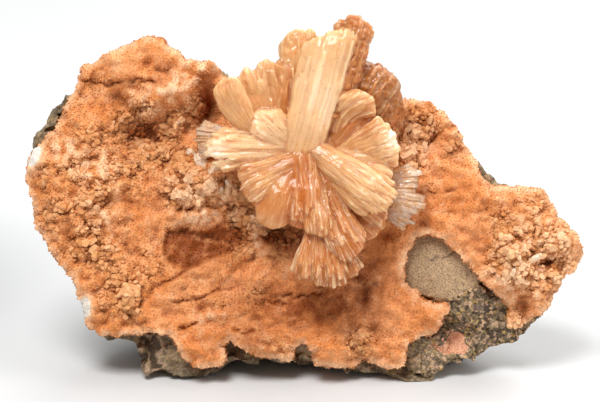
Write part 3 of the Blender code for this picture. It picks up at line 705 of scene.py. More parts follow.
def basalt_material(colours):
    material, tree, shader = new_material("basalt", {"Roughness": 0.85})
    place = plate_place(tree)
    medium = noise_value(tree, place, 1.3, 4.0, 0.6)
    broad = noise_value(tree, place, 9.0, 3.0, 0.5)
    cluster = noise_value(tree, place, 3.4, 4.0, 0.65)
    coarse = ranged(tree, reach(tree, place, COARSE_AT, COARSE_SHARE), 0.8, 1.3, 1.0, 0.25)
    grey = mixed(tree, ranged(tree, broad, 0.38, 0.62), tuple(colours.basalt), paint(120, 104, 82))
    rough = layered(tree, paint(100, 82, 60), [
        (medium, 0.42, 0.6, 1.0, grey),
        (cluster, 0.55, 0.65, 0.5, paint(170, 144, 100)),  # light clusters of grains
        (cluster, 0.42, 0.34, 0.6, paint(112, 90, 82)),  # purplish ones
    ])
    made = {"Vector": place, "Scale": 1.0 / GRAIN_SIZE}
    grains = add_node(tree, "ShaderNodeTexVoronoi", made).outputs["Color"]
    dark, yellow, pink = add_node(tree, "ShaderNodeSeparateColor", {"Color": grains}).outputs
    rough = layered(tree, rough, [
        (dark, 0.74, 0.76, 0.8, paint(58, 44, 30)),
        (yellow, 0.84, 0.86, 0.6, paint(190, 154, 84)),
        (pink, 0.8, 0.82, 0.7, paint(204, 166, 132)),
    ], coarse)
    tan = mixed(tree, ranged(tree, medium, 0.3, 0.7), tuple(colours.basalt_tan), paint(158, 132, 102))
    # the bare patch's tan, which also paints light into the shaded notch
    colour = mixed(tree, attribute_value(tree, "bare"), rough, tan)
    pinkish = mixed(tree, ranged(tree, medium, 0.4, 0.6), paint(206, 170, 140), paint(170, 146, 108))
    streak = attribute_value(tree, "streak")
    colour = layered(tree, colour, [
        (attribute_value(tree, "crack"), 0.2, 0.8, 1.0, paint(70, 54, 40)),
        (streak, 0.02, 0.2, 0.6, pinkish),  # a pink edge on each dark streak
        (streak, 0.35, 0.7, 0.9, paint(58, 42, 28)),
    ])
    specks = {"Colour": colour, "Place": place, "Specks per mm": 3.1, "Darkest": 0.6, "Lightest": 1.3}
    specked = grouped(tree, "speckle", specks)
    frayed = calculated(tree, "MULTIPLY", noise_value(tree, place, 2.6, 2.0, 0.5), 4.2)
    far = calculated(tree, "ADD", reach(tree, place, VEIN_AT, VEIN_SHARE), frayed)
    vein = mixed(tree, ranged(tree, specked["Specks"], 0.4, 0.6), paint(196, 128, 94), paint(232, 174, 138))
    colour = layered(tree, specked["Colour"], [(far, 3.15, 3.05, 0.85, vein)])
    tree.links.new(colour, shader.inputs["Base Color"])
    bump = calculated(tree, "ADD", calculated(tree, "MULTIPLY", specked["Specks"], 0.5), medium)
    bumped(tree, shader, bump, 0.6, 0.25 * MM)
    return material


def rock_mesh(sizes):
    """A fine copy of the rock's solid, softened a little."""
    bm = bmesh.new()
    bm.from_mesh(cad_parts["basalt_matrix"].data)
    bmesh.ops.remove_doubles(bm, verts=bm.verts, dist=1e-6)
    bm.transform(PLATE.inverted())
    bmesh.ops.recalc_face_normals(bm, faces=bm.faces)
    fine = remeshed("rock", bm, sizes.rock_voxel / MM)
    smoothed(fine, 3)
    fine.normal_update()
    return fine


def chipped(p, size, steep):
    """Height of broken rock: each chip of about this size is a plane of its own tilt."""
    middle = noise.voronoi(p / size)[1][0] * size
    tilt = noise.cell_vector(middle * 3.1) - Vector((0.5, 0.5, 0.5))
    return max(-1.0, min(1.0, (p - middle).dot(tilt) * steep * 2.0))


# The roughness of broken rock, in mm: its sizes, with their heights or how steep they are
CHUNK_SIZE, CHUNK_HEIGHT = 2.6, 0.24
GRIT_SIZE, GRIT_HEIGHT = 0.9, 0.16
LARGE_CHIP, LARGE_STEEP, LARGE_HIGHEST = 9.0, 0.4, 0.3
SMALL_CHIP, SMALL_STEEP = 2.8, 0.34


def broken_face(p):
    """How far the broken rock stands out at a point: chunks, grit, and large and small chips."""
    chunks = noise.fractal(p / CHUNK_SIZE, 0.7, 2.2, 3) * CHUNK_HEIGHT
    grit = noise.noise(p / GRIT_SIZE) * GRIT_HEIGHT
    large = min(LARGE_HIGHEST, 1.5 * chipped(p, LARGE_CHIP, LARGE_STEEP) - 0.4)
    return chunks + grit + large + chipped(p, SMALL_CHIP, SMALL_STEEP)


def basalt_rock(sizes, colours):
    """The rock, with its face as the relief has it and its breaks roughened."""
    bm = rock_mesh(sizes)
    u, v, w = np.array([vert.co for vert in bm.verts]).T
    face = rock_height(u, v)
    above_floor = v * math.cos(math.radians(LEAN)) + w * math.sin(math.radians(LEAN))
    grounded = np.clip((above_floor - FLAT_FOOT) / FOOT_BLEND, 0.0, 1.0)
    front = w > SLAB_BACK
    on_face = np.clip(1.0 - (face - w) / FACE_BLEND, 0.0, 1.0) * front
    w_new = np.where(on_face > 0.0, w + (face - w) * on_face, w)
    stray = wander(u, v, 7.0, 1.6)
    edge, _, _ = nearest_on(closed_path(BARE_OUTLINE), u, v)
    bare = inside(BARE_OUTLINE, u, v) * np.clip((edge + 0.5 * stray) / BARE_BLEND, 0.0, 1.0) * front
    light = np.clip(swells(TAN_AND_LIT_PATCHES, u, v), 0.0, 0.9) * front
    crack = np.exp(-((nearest_on(PATCH_CRACK, u, v + 0.4 * stray)[0] / PATCH_CRACK_WIDTH) ** 2)) * on_face
    w_new = w_new - PATCH_CRACK_WIDTH * crack
    streak = np.zeros_like(u)
    for path in FOOT_STREAKS:
        far, _, _ = nearest_on(path, u + 0.5 * stray, v + 0.5 * stray)
        streak = np.maximum(streak, np.exp(-((far / STREAK_WIDTH) ** 2)) * (w > STREAK_BACK))
    _, edge_u, edge_v = nearest_on(closed_path(ROCK_OUTLINE), u, v)
    outside = ~inside(ROCK_OUTLINE, u, v)
    u_new = np.where(outside, edge_u, u) + swells([FOOT_TOE], u, v)
    v_new = np.where(outside, edge_v, v)
    masks = {"bare": np.maximum(bare, light), "crack": crack, "streak": streak}
    layers = {name: bm.verts.layers.float.new(name) for name in masks}
    for i, vert in enumerate(bm.verts):
        vert.co = (u_new[i], v_new[i], w_new[i])
        rough = broken_face(vert.co) * (1.0 - BARE_SMOOTH * bare[i])
        vert.co += vert.normal * rough * grounded[i]
        for name, mask in masks.items():
            vert[layers[name]] = float(mask[i])
    rock = finished_object("basalt_rock", bm, 40.0)
    rock.data.materials.append(basalt_material(colours))
    hand_over(rock, "basalt", "basalt_matrix")


# Crust


def druse_material(colours, name="orange_druse"):
    material, tree, shader = new_material(name, {"Roughness": 0.68, "Specular IOR Level": 0.3})
    place = plate_place(tree)
    broad = noise_value(tree, place, 11.0, 3.0, 0.55, 0.4)
    medium = noise_value(tree, place, 2.6, 4.0, 0.6)
    rough, pale, tint, stain_and_shade = (attribute_value(tree, mask) for mask in ("rough", "pale", "tint", "stain_and_shade"))
    colour = layered(tree, tuple(colours.druse), [
        (broad, 0.36, 0.6, 1.0, tuple(colours.druse_deep)),
        (rough, 0.3, 0.9, 0.6, tuple(colours.druse_tan)),
        (medium, 0.52, 0.72, 0.45, paint(238, 190, 146)),
        (medium, 0.46, 0.3, 0.35, paint(204, 126, 66)),
        # pale patches, some of them painted light, and a painted highlight on the lumps' tops
        (pale, 0.1, 0.9, 0.85, tuple(colours.druse_pale)),
        (pale, CHIP_PALE, 1.0, 1.0, paint(222, 212, 200)),  # the smooth chips
        (tint, 0.6, 1.0, 0.3, paint(246, 204, 154)),  # each crystal is lighter
        (tint, 0.4, 0.0, 0.3, paint(178, 100, 40)),  # or deeper
    ])
    # red brown stains, and painted shade in cracks, hollows and pits
    colour = mixed(tree, stain_and_shade, colour, tuple(colours.stain_and_shade))
    specks = {"Colour": colour, "Place": place, "Specks per mm": 2.2, "Darkest": 0.82, "Lightest": 1.1}
    specked = grouped(tree, "speckle", specks)
    tree.links.new(specked["Colour"], shader.inputs["Base Color"])
    bumped(tree, shader, specked["Specks"], 0.5, 0.2 * MM)
    return material


# The druse's lumps and fine grain: how high they stand where it is fully rough, and their size, in mm
BIG_LUMPS, BIG_LUMP_SIZE = 2.2, 3.4
SMALL_LUMPS, SMALL_LUMP_SIZE = 1.4, 1.5
FINE_GRAIN, FINE_GRAIN_SIZE = 0.26, 0.6
LEAST_FINE_GRAIN = 0.1  # where it is smooth
EVEN_ROUGH = 0.2  # how rough it is outside the patches
# the hollows found so are darkened as painted shade
HOLLOW_BLUR = 24  # passes: what lies below this blurred face is a hollow


def crust_relief(u, v):
    """The crust's height with its druse, and what shapes it."""
    chips = np.clip(swells(CHIPS, u, v), 0.0, 1.0)
    rough = np.clip(EVEN_ROUGH + swells(ROUGH_PATCHES, u, v), 0.0, 1.2)
    rough = np.clip(rough * (1.0 + 1.1 * clouds(u, v, *ROUGH_CLOUDS)), 0.06, 1.3) * (1.0 - chips)
    rock = rock_height(u, v)
    height = crust_height(u, v, rock)
    cracks = crack_field(u, v)
    big = lumpy(u, v, 1.0, BIG_LUMP_SIZE)
    small = lumpy(u, v, 2.0, SMALL_LUMP_SIZE)
    height += rough * (BIG_LUMPS * big + SMALL_LUMPS * small)
    height += (LEAST_FINE_GRAIN + FINE_GRAIN * rough) * wander(u, v, 6.0, FINE_GRAIN_SIZE) * (1.0 - chips)
    pits = swells(PITS, u, v)
    height -= CRACK_DEPTH * cracks + pits
    stray = 0.5 * clouds(u, v, *TERRACE_CLOUDS)
    stray += 0.5 * wander(u, v, 4.0, 0.9)
    wall, _, _ = nearest_on(closed_path(TERRACE_OUTLINE), u, v)
    terrace = inside(TERRACE_OUTLINE, u, v) * np.clip((wall + stray) / TERRACE_WALL, 0.0, 1.0)
    height = np.maximum(height - TERRACE_DEPTH * terrace, rock + CRUST_OVER_ROCK)
    return height, rough, chips, cracks, big, small, pits, terrace


def crust_fields(cell):
    """Grids of place, height and colour masks over the crust's outline."""
    us, vs = zip(*CRUST_OUTLINE)
    columns = round((max(us) - min(us)) / cell) + 3
    rows = round((max(vs) - min(vs)) / cell) + 3
    u, v = np.meshgrid(min(us) - cell + cell * np.arange(columns), min(vs) - cell + cell * np.arange(rows))
    height, rough, chips, cracks, big, small, pits, terrace = crust_relief(u, v)
    # painted shade: the crust is darkened where it lies below its blurred face, and in the crevices between
    # its lumps
    hollow_shade = np.clip((blurred(height, HOLLOW_BLUR) - height - 0.08) / 0.7, 0.0, 1.0)
    crevice_shade = np.clip((-0.12 - small) / 0.3, 0.0, 1.0) * np.clip(rough * 1.3, 0.0, 1.0) * (big < 0.3)
    mottle = clouds(u, v, *MOTTLE)
    # painted highlight: the tops of the lumps are paler
    crest_highlight = np.clip(rough, 0.0, 1.0) * np.clip(small + big, 0.0, 1.0)
    pale = swells(PALE_AND_LIT_PATCHES, u, v) * (1.0 + 1.4 * mottle) * (0.6 + 1.4 * small)
    pale = np.clip(pale + 0.5 * crest_highlight, 0.0, 0.9)
    stain_and_shade = (swells(STAIN_AND_SHADE_PATCHES, u, v) + 0.7 * terrace) * (0.95 + 0.8 * mottle)
    # the deep pits are darkened as painted shade too
    stain_and_shade = np.clip(np.maximum(stain_and_shade + 0.45 * pits, np.maximum(0.55 * hollow_shade, 0.7 * crevice_shade)), 0.0, 0.9)
    rim, _, _ = nearest_on(closed_path(CRUST_OUTLINE), u, v)
    edge = np.exp(-((rim / PALE_RIM) ** 2)) * np.clip(1.0 + 1.2 * mottle, 0.0, 1.0)
    stain_and_shade = np.maximum(stain_and_shade, cracks * CRACK_SHADE) * (1.0 - chips) * (1.0 - edge)
    pale = np.maximum(np.where(stain_and_shade > 0.3, pale * 0.4, pale), np.maximum(0.8 * edge, chips))
    return u, v, height, {"rough": rough, "pale": pale, "stain_and_shade": stain_and_shade}


RIM_STEP = 0.55  # mm between the rows of the crust's broken side
RIM_ROWS = 10
GROWN_ROWS = 4  # rows that the fine druse still covers
GROWN_ROUGH = 0.35
CRUST_BACK = -5.0
CRUST_BACK_SHRINK = 0.84
CRUST_MIDDLE_V = 33.0  # it shrinks towards this height


def crust_face(sizes):
    """The crust's face as a fine grid, cut to the outline."""
    u, v, height, masks = crust_fields(sizes.crust_cell / MM)
    rows, columns = u.shape
    bm = bmesh.new()
    bmesh.ops.create_grid(bm, x_segments=columns - 1, y_segments=rows - 1, size=0.5)
    layers = {name: bm.verts.layers.float.new(name) for name in ("rough", "pale", "stain_and_shade", "tint")}
    within = inside(CRUST_OUTLINE, u, v)
    for vert in bm.verts:
        at = round((vert.co.y + 0.5) * (rows - 1)), round((vert.co.x + 0.5) * (columns - 1))
        vert.co = (u[at], v[at], height[at])
        for name, mask in masks.items():
            vert[layers[name]] = float(mask[at])
        vert[layers["tint"]] = 0.5
        vert.tag = bool(within[at])
    bmesh.ops.delete(bm, geom=[vert for vert in bm.verts if not vert.tag], context="VERTS")
    loose = [vert for vert in bm.verts if len(vert.link_faces) < 2]
    bmesh.ops.delete(bm, geom=loose, context="VERTS")
    return bm, layers


def crust_sheet(sizes):
    """The crust's face pulled onto the outline, with its rim turned down into the rock."""
    bm, layers = crust_face(sizes)
    rim = [vert for vert in bm.verts if vert.is_boundary]
    rim_u, rim_v = np.array([vert.co.x for vert in rim]), np.array([vert.co.y for vert in rim])
    _, at_u, at_v = nearest_on(closed_path(CRUST_OUTLINE), rim_u, rim_v)
    for vert, au, av in zip(rim, at_u, at_v):
        outward = Vector((au - vert.co.x, av - vert.co.y, 0.0))
        vert.co += outward * (1.0 + 1.2 * noise.noise(Vector((au, av, 1.0)) / 1.6))
    wall = []
    for row in range(RIM_ROWS):
        turned = rim_extruded(bm)
        for vert in turned:
            vert.co.z -= RIM_STEP
            vert[layers["rough"]] = GROWN_ROUGH if row < GROWN_ROWS else 0.0
        wall += turned
    bmesh.ops.smooth_vert(bm, verts=wall, factor=0.5, use_axis_x=True, use_axis_y=True)
    bmesh.ops.recalc_face_normals(bm, faces=bm.faces)
    bm.normal_update()
    for vert in wall:
        p = vert.co.copy()
        lumps = lump(p / 1.4)
        vert.co += vert.normal * (0.7 * lumps + 0.45 * noise.noise(p / 2.6) + 0.2 * noise.noise(p / 0.6))
        vert[layers["pale"]] = max(0.0, 0.25 + 0.8 * noise.noise(p / 2.2))
        # painted shade in the cracks between the side's lumps
        vert[layers["stain_and_shade"]] = max(0.0, 0.25 - 0.9 * lumps + 0.5 * noise.noise(p / 3.0))
    for vert in rim_extruded(bm):
        inward_v = CRUST_MIDDLE_V + (vert.co.y - CRUST_MIDDLE_V) * CRUST_BACK_SHRINK
        vert.co = (vert.co.x * CRUST_BACK_SHRINK, inward_v, CRUST_BACK)
        vert[layers["pale"]], vert[layers["stain_and_shade"]] = 0.2, 0.3
    in_order(bm)
    bmesh.ops.holes_fill(bm, edges=[edge for edge in bm.edges if edge.is_boundary], sides=0)
    many_sided = [face for face in bm.faces if len(face.verts) > 4]
    bmesh.ops.triangulate(bm, faces=many_sided, ngon_method="EAR_CLIP")
    bmesh.ops.recalc_face_normals(bm, faces=bm.faces)
    return bm


def orange_crust(sizes, colours):
    crust = finished_object("orange_crust", crust_sheet(sizes), 50.0)
    crust.data.materials.append(druse_material(colours))
    hand_over(crust, "orange_druse", "druse_crust")


# Druse crystals


# The druse crystals' shapes: how many sides, how flat, and how wide their chisel points are
CRYSTAL_SHAPES = {"crystal_a": (4, 0.7, 0.5), "crystal_b": (4, 0.95, 0.8), "crystal_c": (5, 0.85, 0.6),
                  "crystal_d": (6, 0.6, 0.5)}
CRYSTAL_RADIUS = 0.42
CRYSTAL_SUNK = 0.35
CRYSTAL_SHAFT, CRYSTAL_POINT, POINT_WIDTH = 0.6, 0.3, 0.62

# A kind of druse: its crystals' size and how far they lean, what it adds to the seed, how rough the crust is
# at least where it grows, and what share of their size the crystals keep where it is smooth
Druse = namedtuple("Druse", "size tilt seed least_rough flat_size")
FINE = Druse(0.62, 0.42, 0, 0.02, 0.46)
COARSE = Druse(1.6, 0.9, 20, 0.62, 0.2)
# Each piece of it: what kind, which spacing, and from where to where along u
DRUSE_PIECES = {
    "fine_druse_left": (FINE, "grain_spacing", -99.0, -16.0),
    "fine_druse_middle": (FINE, "grain_spacing", -16.0, 17.0),
    "fine_druse_right": (FINE, "grain_spacing", 17.0, 99.0),
    "coarse_druse": (COARSE, "coarse_spacing", -99.0, 99.0),
}
TRIES = 3.0  # points tried for each square of the spacing
LEAST_FACING = -0.3  # druse grows where the crust's normal points out of the plate at least this much
SMALLEST, LARGEST = 0.65, 1.35  # share of the kind's size


def crystal_prism(sides, waist, chisel):
    """One small crystal along Z, its foot sunk a little below 0: a prism with a chisel point."""
    bm = bmesh.new()
    base = bmesh.ops.create_circle(bm, cap_ends=True, segments=sides, radius=CRYSTAL_RADIUS)["verts"]
    bmesh.ops.scale(bm, vec=(1.0, waist, 1.0), verts=base)
    bmesh.ops.translate(bm, vec=(0.0, 0.0, -CRYSTAL_SUNK), verts=base)
    for rise, narrow in ((CRYSTAL_SHAFT, (1.0, 1.0, 1.0)), (CRYSTAL_POINT, (POINT_WIDTH, chisel, 1.0))):
        top = max(bm.faces, key=lambda face: face.calc_center_median().z)
        verts = only(bmesh.types.BMVert, bmesh.ops.extrude_face_region(bm, geom=[top])["geom"])
        bmesh.ops.translate(bm, vec=(0.0, 0.0, rise), verts=verts)
        bmesh.ops.scale(bm, vec=narrow, verts=verts, space=Matrix.Identity(4))
    bmesh.ops.recalc_face_normals(bm, faces=bm.faces)
    return bm


def random_value(tree, low, high, seed):
    made = {2: low, 3: high, "Seed": seed}
    return add_node(tree, "FunctionNodeRandomValue", made, data_type="FLOAT").outputs[1]


def named_value(tree, name):
    return add_node(tree, "GeometryNodeInputNamedAttribute", {"Name": name}, data_type="FLOAT").outputs[0]


def growing_place(tree, druse, rough, low_u, high_u):
    """1 where this druse grows: between two places along u, out of the plate, and not on the smooth chips."""
    place = add_node(tree, "GeometryNodeInputPosition").outputs[0]
    along = add_node(tree, "ShaderNodeSeparateXYZ", {0: place}).outputs[0]
    upward = add_node(tree, "GeometryNodeInputNormal").outputs[0]
    facing = add_node(tree, "ShaderNodeSeparateXYZ", {0: upward}).outputs[2]
    chosen = 1.0
    for value, operation, limit in (
        (along, "GREATER_THAN", low_u),
        (along, "LESS_THAN", high_u),
        (facing, "GREATER_THAN", LEAST_FACING),
        (rough, "GREATER_THAN", druse.least_rough),
        (named_value(tree, "pale"), "LESS_THAN", CHIP_PALE),
    ):
        chosen = calculated(tree, "MULTIPLY", chosen, calculated(tree, operation, value, limit))
    return chosen


def standing(tree, normal, tilt, seed):
    """Rotations that stand crystals along the normal, each leant and turned its own way."""
    made = {"Min": (-tilt, -tilt, -tilt), "Max": (tilt, tilt, tilt), "Seed": seed + 2}
    lean = add_node(tree, "FunctionNodeRandomValue", made, data_type="FLOAT_VECTOR").outputs[0]
    upward = add_node(tree, "ShaderNodeVectorMath", {0: normal, 1: lean}, operation="ADD").outputs[0]
    stood = add_node(tree, "FunctionNodeAlignRotationToVector", {"Vector": upward}, axis="Z").outputs[0]
    made = {"Axis": (0.0, 0.0, 1.0), "Angle": random_value(tree, 0.0, math.tau, seed + 3)}
    turn = add_node(tree, "FunctionNodeAxisAngleToRotation", made).outputs[0]
    made = {"Rotation": stood, "Rotate By": turn}
    return add_node(tree, "FunctionNodeRotateRotation", made, rotation_space="LOCAL").outputs[0]


def strewn_tree(crystals, druse, spacing, seed, low_u, high_u):
    """Geometry nodes that strew crystals over the crust's face, stand them out of it and realise them."""
    tree = bpy.data.node_groups.new("strewn_crystals", "GeometryNodeTree")
    for in_out in ("INPUT", "OUTPUT"):
        tree.interface.new_socket(name="Geometry", in_out=in_out, socket_type="NodeSocketGeometry")
    source = add_node(tree, "NodeGroupInput").outputs[0]
    rough = named_value(tree, "rough")
    made = {
        "Mesh": source, "Selection": growing_place(tree, druse, rough, low_u, high_u),
        "Distance Min": spacing, "Density Max": TRIES / spacing**2, "Density Factor": 1.0, "Seed": seed,
    }
    strewn = add_node(tree, "GeometryNodeDistributePointsOnFaces", made, distribute_method="POISSON")
    tint = random_value(tree, 0.0, 1.0, seed + 1)
    made = {"Geometry": strewn.outputs["Points"], "Name": "tint", "Value": tint}
    tinted = add_node(tree, "GeometryNodeStoreNamedAttribute", made, data_type="FLOAT", domain="POINT")
    size = calculated(tree, "MULTIPLY", random_value(tree, SMALLEST, LARGEST, seed + 4), druse.size)
    swell = calculated(tree, "MULTIPLY", rough, 1.0 - druse.flat_size)
    size = calculated(tree, "MULTIPLY", size, calculated(tree, "ADD", swell, druse.flat_size))
    made = {"Collection": crystals, "Separate Children": True}
    shapes = add_node(tree, "GeometryNodeCollectionInfo", made).outputs[0]
    made = {"Min": 0, "Max": len(CRYSTAL_SHAPES) - 1, "Seed": seed + 5}
    picked = add_node(tree, "FunctionNodeRandomValue", made, data_type="INT").outputs[2]
    made = {
        "Points": tinted.outputs[0], "Instance": shapes, "Pick Instance": True, "Instance Index": picked,
        "Rotation": standing(tree, strewn.outputs["Normal"], druse.tilt, seed),
        "Scale": size,
    }
    made = add_node(tree, "GeometryNodeInstanceOnPoints", made).outputs[0]
    made = add_node(tree, "GeometryNodeRealizeInstances", {0: made}).outputs[0]
    add_node(tree, "NodeGroupOutput", {0: made})
    return tree


def druse_crystals(sizes, colours):
    """The crystals of each druse piece as one joined mesh over the crust's face."""
    crystals = bpy.data.collections.new("crystal_shapes")
    shapes = [working_object(name, crystal_prism(*shape)) for name, shape in CRYSTAL_SHAPES.items()]
    for shape in shapes:
        bpy.context.scene.collection.objects.unlink(shape)
        crystals.objects.link(shape)
    material = druse_material(colours, "druse_crystals")
    for name, (druse, spacing, low_u, high_u) in DRUSE_PIECES.items():
        spacing = getattr(sizes, spacing) / MM
        bare = working_object(name, crust_sheet(sizes))
        tree = strewn_tree(crystals, druse, spacing, sizes.seed + druse.seed, low_u, high_u)
        bare.modifiers.new("Strewn", "NODES").node_group = tree
        strewn = placed(name, evaluated_mesh(bare))
        strewn.data.materials.clear()
        strewn.data.materials.append(material)
        hand_over(strewn, "orange_druse")
    for shape in shapes:
        bpy.data.objects.remove(shape)
    bpy.data.collections.remove(crystals)


# Clear crystals that stand on the crust: (u, v), how far over the crust's own face they stand among the
# druse, their length, width and the direction they point in, in degrees
CLEAR_CRYSTALS = [
    (44.8, 24.2, 2.4, 3.0, 1.4, 28), (-19.6, 42.8, 0.7, 3.6, 2.9, 115), (-17.2, 41.4, 0.5, 2.8, 2.4, 60),
    (-21.4, 44.6, 0.6, 2.4, 1.8, 150), (-14.2, 38.6, 0.8, 2.0, 1.4, 120), (-16.0, 37.4, 0.8, 1.8, 1.3, 80),
    (40.6, 21.4, 2.0, 1.8, 1.0, 70), (-24.4, 50.6, 1.6, 1.8, 1.0, 30),
]
CLEAR_RISE = 0.35  # how steeply they point out of the crust


def clear_crystal(u, v, lift, length, width, direction):
    at_u, at_v = np.array([u]), np.array([v])
    w = float(crust_height(at_u, at_v, rock_height(at_u, at_v))[0]) + lift
    angle = math.radians(direction)
    turn = Vector((math.cos(angle), math.sin(angle), CLEAR_RISE)).to_track_quat("Z", "Y").to_matrix().to_4x4()
    size = Matrix.Diagonal((width, width, length, 1.0))
    bm = crystal_prism(*CRYSTAL_SHAPES["crystal_a"])
    bmesh.ops.transform(bm, matrix=Matrix.Translation((u, v, w)) @ turn @ size, verts=bm.verts)
    return bm


def clear_crystals(colours):
    whole = merged(bmesh.new(), [clear_crystal(*crystal) for crystal in CLEAR_CRYSTALS])
    piece = finished_object("clear_crystals", whole, 10.0)
    piece.data.materials.append(glassy_material(colours, "clear_crystals", 0.2))
    hand_over(piece, "glassy_stilbite")


# The spray

# A fanned sheaf of long crystals: where it roots and ends (u, v, w), its width and depth at both ends, how
# many crystals it has, how far its end is domed and slopes, its turn about its axis in degrees, its sideways
# bow in mm, how ragged its end is, its warmth from -1 for bright cream to 1 for ochre, how deep its ribs are
# and how grainy it is
Sheaf = namedtuple(
    "Sheaf",
    "root tip root_width tip_width root_depth tip_depth crystals "
    "dome slope turn bow ragged warm relief grain",
)

SHEAVES = {
    "back_right": Sheaf(
        (5, 43, 5), (15.4, 61.8, 8.5), 9.0, 13.8, 8.0, 9.5, 8, 0.16, -0.02, 0, 0, 0.02, 1.0, 0.3, 0.6
    ),
    "recess": Sheaf(
        (4, 43, 8), (12.4, 53.2, 11), 8.0, 9.0, 6.0, 5.0, 6, 0.12, 0, 0, 0, 0.02, 0.85, 0.2, 0.1
    ),
    "back_blade": Sheaf(
        (-0.6, 43, 6.5), (-0.3, 69, 9), 7.0, 8.4, 5.0, 4.6, 5, 0.1, 0, 0, 0, 0.03, 0.1, 0.3, 0.3
    ),
    "curtain_a": Sheaf(
        (-3.5, 45, 8), (-11, 61.4, 11.6), 4.0, 7.0, 4.4, 3.6, 6, 0.08, 0.02, 0, 0, 0.06, 0.15, 0.6, 0.1
    ),
    "curtain_b": Sheaf(
        (-2.6, 45, 8), (-7.2, 63.0, 11), 4.0, 6.2, 4.4, 3.6, 6, 0.1, 0, 0, 0, 0.06, 0.25, 0.6, 0.1
    ),
    "curtain_c": Sheaf(
        (-1.8, 45, 7), (-3.8, 62.4, 9.4), 5.0, 6.4, 5.0, 4.4, 5, 0.1, 0, 0, 0, 0.05, 0.5, 0.5, 0.1
    ),
    "middle_left": Sheaf(
        (-4.2, 45.6, 11), (-8.2, 58.8, 10.8), 2.6, 10.6, 4.0, 3.4, 6, 0.12, 0, 0, 0, 0.02, 0.35, 0.3, 0
    ),
    "upright_top": Sheaf(
        (5.4, 52, 10.5), (10.6, 70.8, 13), 6.4, 7.4, 7.0, 6.0, 8, 0.12, 0, 0, 0, 0.03, 0.87, 0.4, 0.8
    ),
    "upright": Sheaf(
        (-3.6, 35.4, 8.7), (5.6, 67.9, 14.4), 7.6, 9.8, 8.0, 6.6, 28,
        0.04, 0.09, 0, 0.5, 0.01, -0.18, 0.34, 0.1,
    ),
    "left_ridge": Sheaf(
        (-1.4, 45, 10.4), (-9.8, 51.6, 14.2), 4.4, 9.4, 5.0, 4.0, 10, 0.34, 0, 0, 0, 0.03, -0.35, 0.6, 0
    ),
    "left_bright": Sheaf(
        (-1.6, 45.4, 10), (-18.8, 45.2, 15), 4.4, 8.6, 6.0, 4.4, 20, 0.2, 0, 0, 0, 0.035, -0.2, 0.8, 0.1
    ),
    "left_low": Sheaf(
        (-1, 43, 11.4), (-11.8, 37.4, 14), 5.0, 11.0, 6.0, 4.4, 20, 0.14, 0, 0, 0, 0.03, 0.5, 0.7, 0.1
    ),
    "centre": Sheaf(
        (-0.6, 47.4, 11), (0.6, 31.2, 15), 5.6, 8.0, 5.0, 4.0, 16, 0.12, 0, 0, 0, 0.02, 0.75, 0.7, 0
    ),
    "columns": Sheaf(
        (1.6, 43, 10), (3.6, 28.4, 15.8), 3.4, 6.4, 6.0, 4.4, 5, 0.12, 0, 0, 0, 0.03, 0.52, 1.0, 0
    ),
    "plates_right": Sheaf(
        (3, 42, 10.6), (9.8, 24, 15), 4.0, 8.6, 6.0, 4.6, 7, 0.16, 0, 0, 0.6, 0.05, 0.84, 1.0, 0.1
    ),
    "bottom_fan": Sheaf(
        (3.4, 34, 10.6), (5.2, 18.6, 13.2), 4.4, 14.4, 6.0, 4.0, 24, 0.24, -0.03, 0, 0, 0.03, 0.93, 0.8, 0.1
    ),
    "right_low": Sheaf(
        (1.4, 45.6, 10), (17.0, 34.8, 17.6), 4.4, 7.8, 7.0, 5.0, 24, 0.1, 0, 0, 0, 0.03, 0.14, 0.75, 0
    ),
    "right_lip": Sheaf(
        (4, 41.6, 11.4), (13.6, 33.4, 16), 3.0, 5.0, 4.0, 4.0, 8, 0.14, 0, 0, 0.3, 0.04, 0.2, 0.6, 0
    ),
    "right_high": Sheaf(
        (6, 42.5, 9.6), (18.0, 47.4, 14.4), 4.6, 10.4, 5.0, 3.6, 20, 0.14, 0, 0, 0, 0.025, 0.32, 0.7, 0.15
    ),
    # its warm ochre colour is partly painted shade, as it lies under the lower right sheaf
    "under_right": Sheaf(
        (4, 38, 8.5), (15.6, 29.6, 11.4), 5.0, 8.6, 6.0, 4.0, 10, 0.16, 0, 0, 0, 0.03, 0.8, 0.5, 0.2
    ),
    "curl_right": Sheaf(
        (6.4, 49, 10), (13, 55.6, 14.4), 3.6, 7.6, 4.0, 3.4, 6, 0.24, 0, 10, -1.5, 0.03, 0.3, 0.6, 0
    ),
}

# The glassy sheaves beside the spray: their shape, the node each stands for and its seed
CLEAR_RIGHT = Sheaf((12.5, 37.4, 6), (23.6, 35.4, 7.8), 5.0, 13.4, 5.0, 6.6, 12, 0.2, 0, 6, 0, 0.1, 0, 1.1, 0)
CLEAR_LEFT = Sheaf((-12.4, 47.4, 6), (-21, 47.2, 7), 3.0, 7.6, 4.4, 6.0, 9, 0.2, 0, -6, 0, 0.07, 0, 1.2, 0)
GLASSY_SHEAVES = {
    "glassy_right": (CLEAR_RIGHT, "clear_sheaf_right", 21),
    "glassy_left": (CLEAR_LEFT, "clear_sheaf_left", 22),
}

# A broad smooth petal: its ends, width, depth, its width at the root over that at the tip, turn and warmth
Petal = namedtuple("Petal", "root tip width depth root_share turn warm")

PETALS = {
    "heart": Petal((1.5, 31.0, 8.0), (1.5, 51.5, 8.0), 19.0, 9.6, 1.0, 0, 0.8),
    "petal_left": Petal((-8.8, 46.6, 12.4), (-15.4, 58.4, 15.0), 7.8, 3.8, 0.45, -14, 0.2),
    "belly_left": Petal((-0.5, 44.0, 11.0), (-6.8, 30.4, 13.8), 9.4, 6.8, 0.6, 0, 0.4),
    "belly_low": Petal((1.4, 42.0, 10.6), (-1.2, 30.2, 13.6), 6.6, 6.0, 0.7, 0, 0.7),
    "right_mid": Petal((4.0, 44.0, 10.0), (17.4, 42.2, 13.4), 7.4, 5.4, 0.6, 0, 0.2),
    "petal_right": Petal((7.6, 43.0, 11.4), (16.8, 39.8, 15.0), 4.6, 3.6, 0.5, 12, 0.0),
}
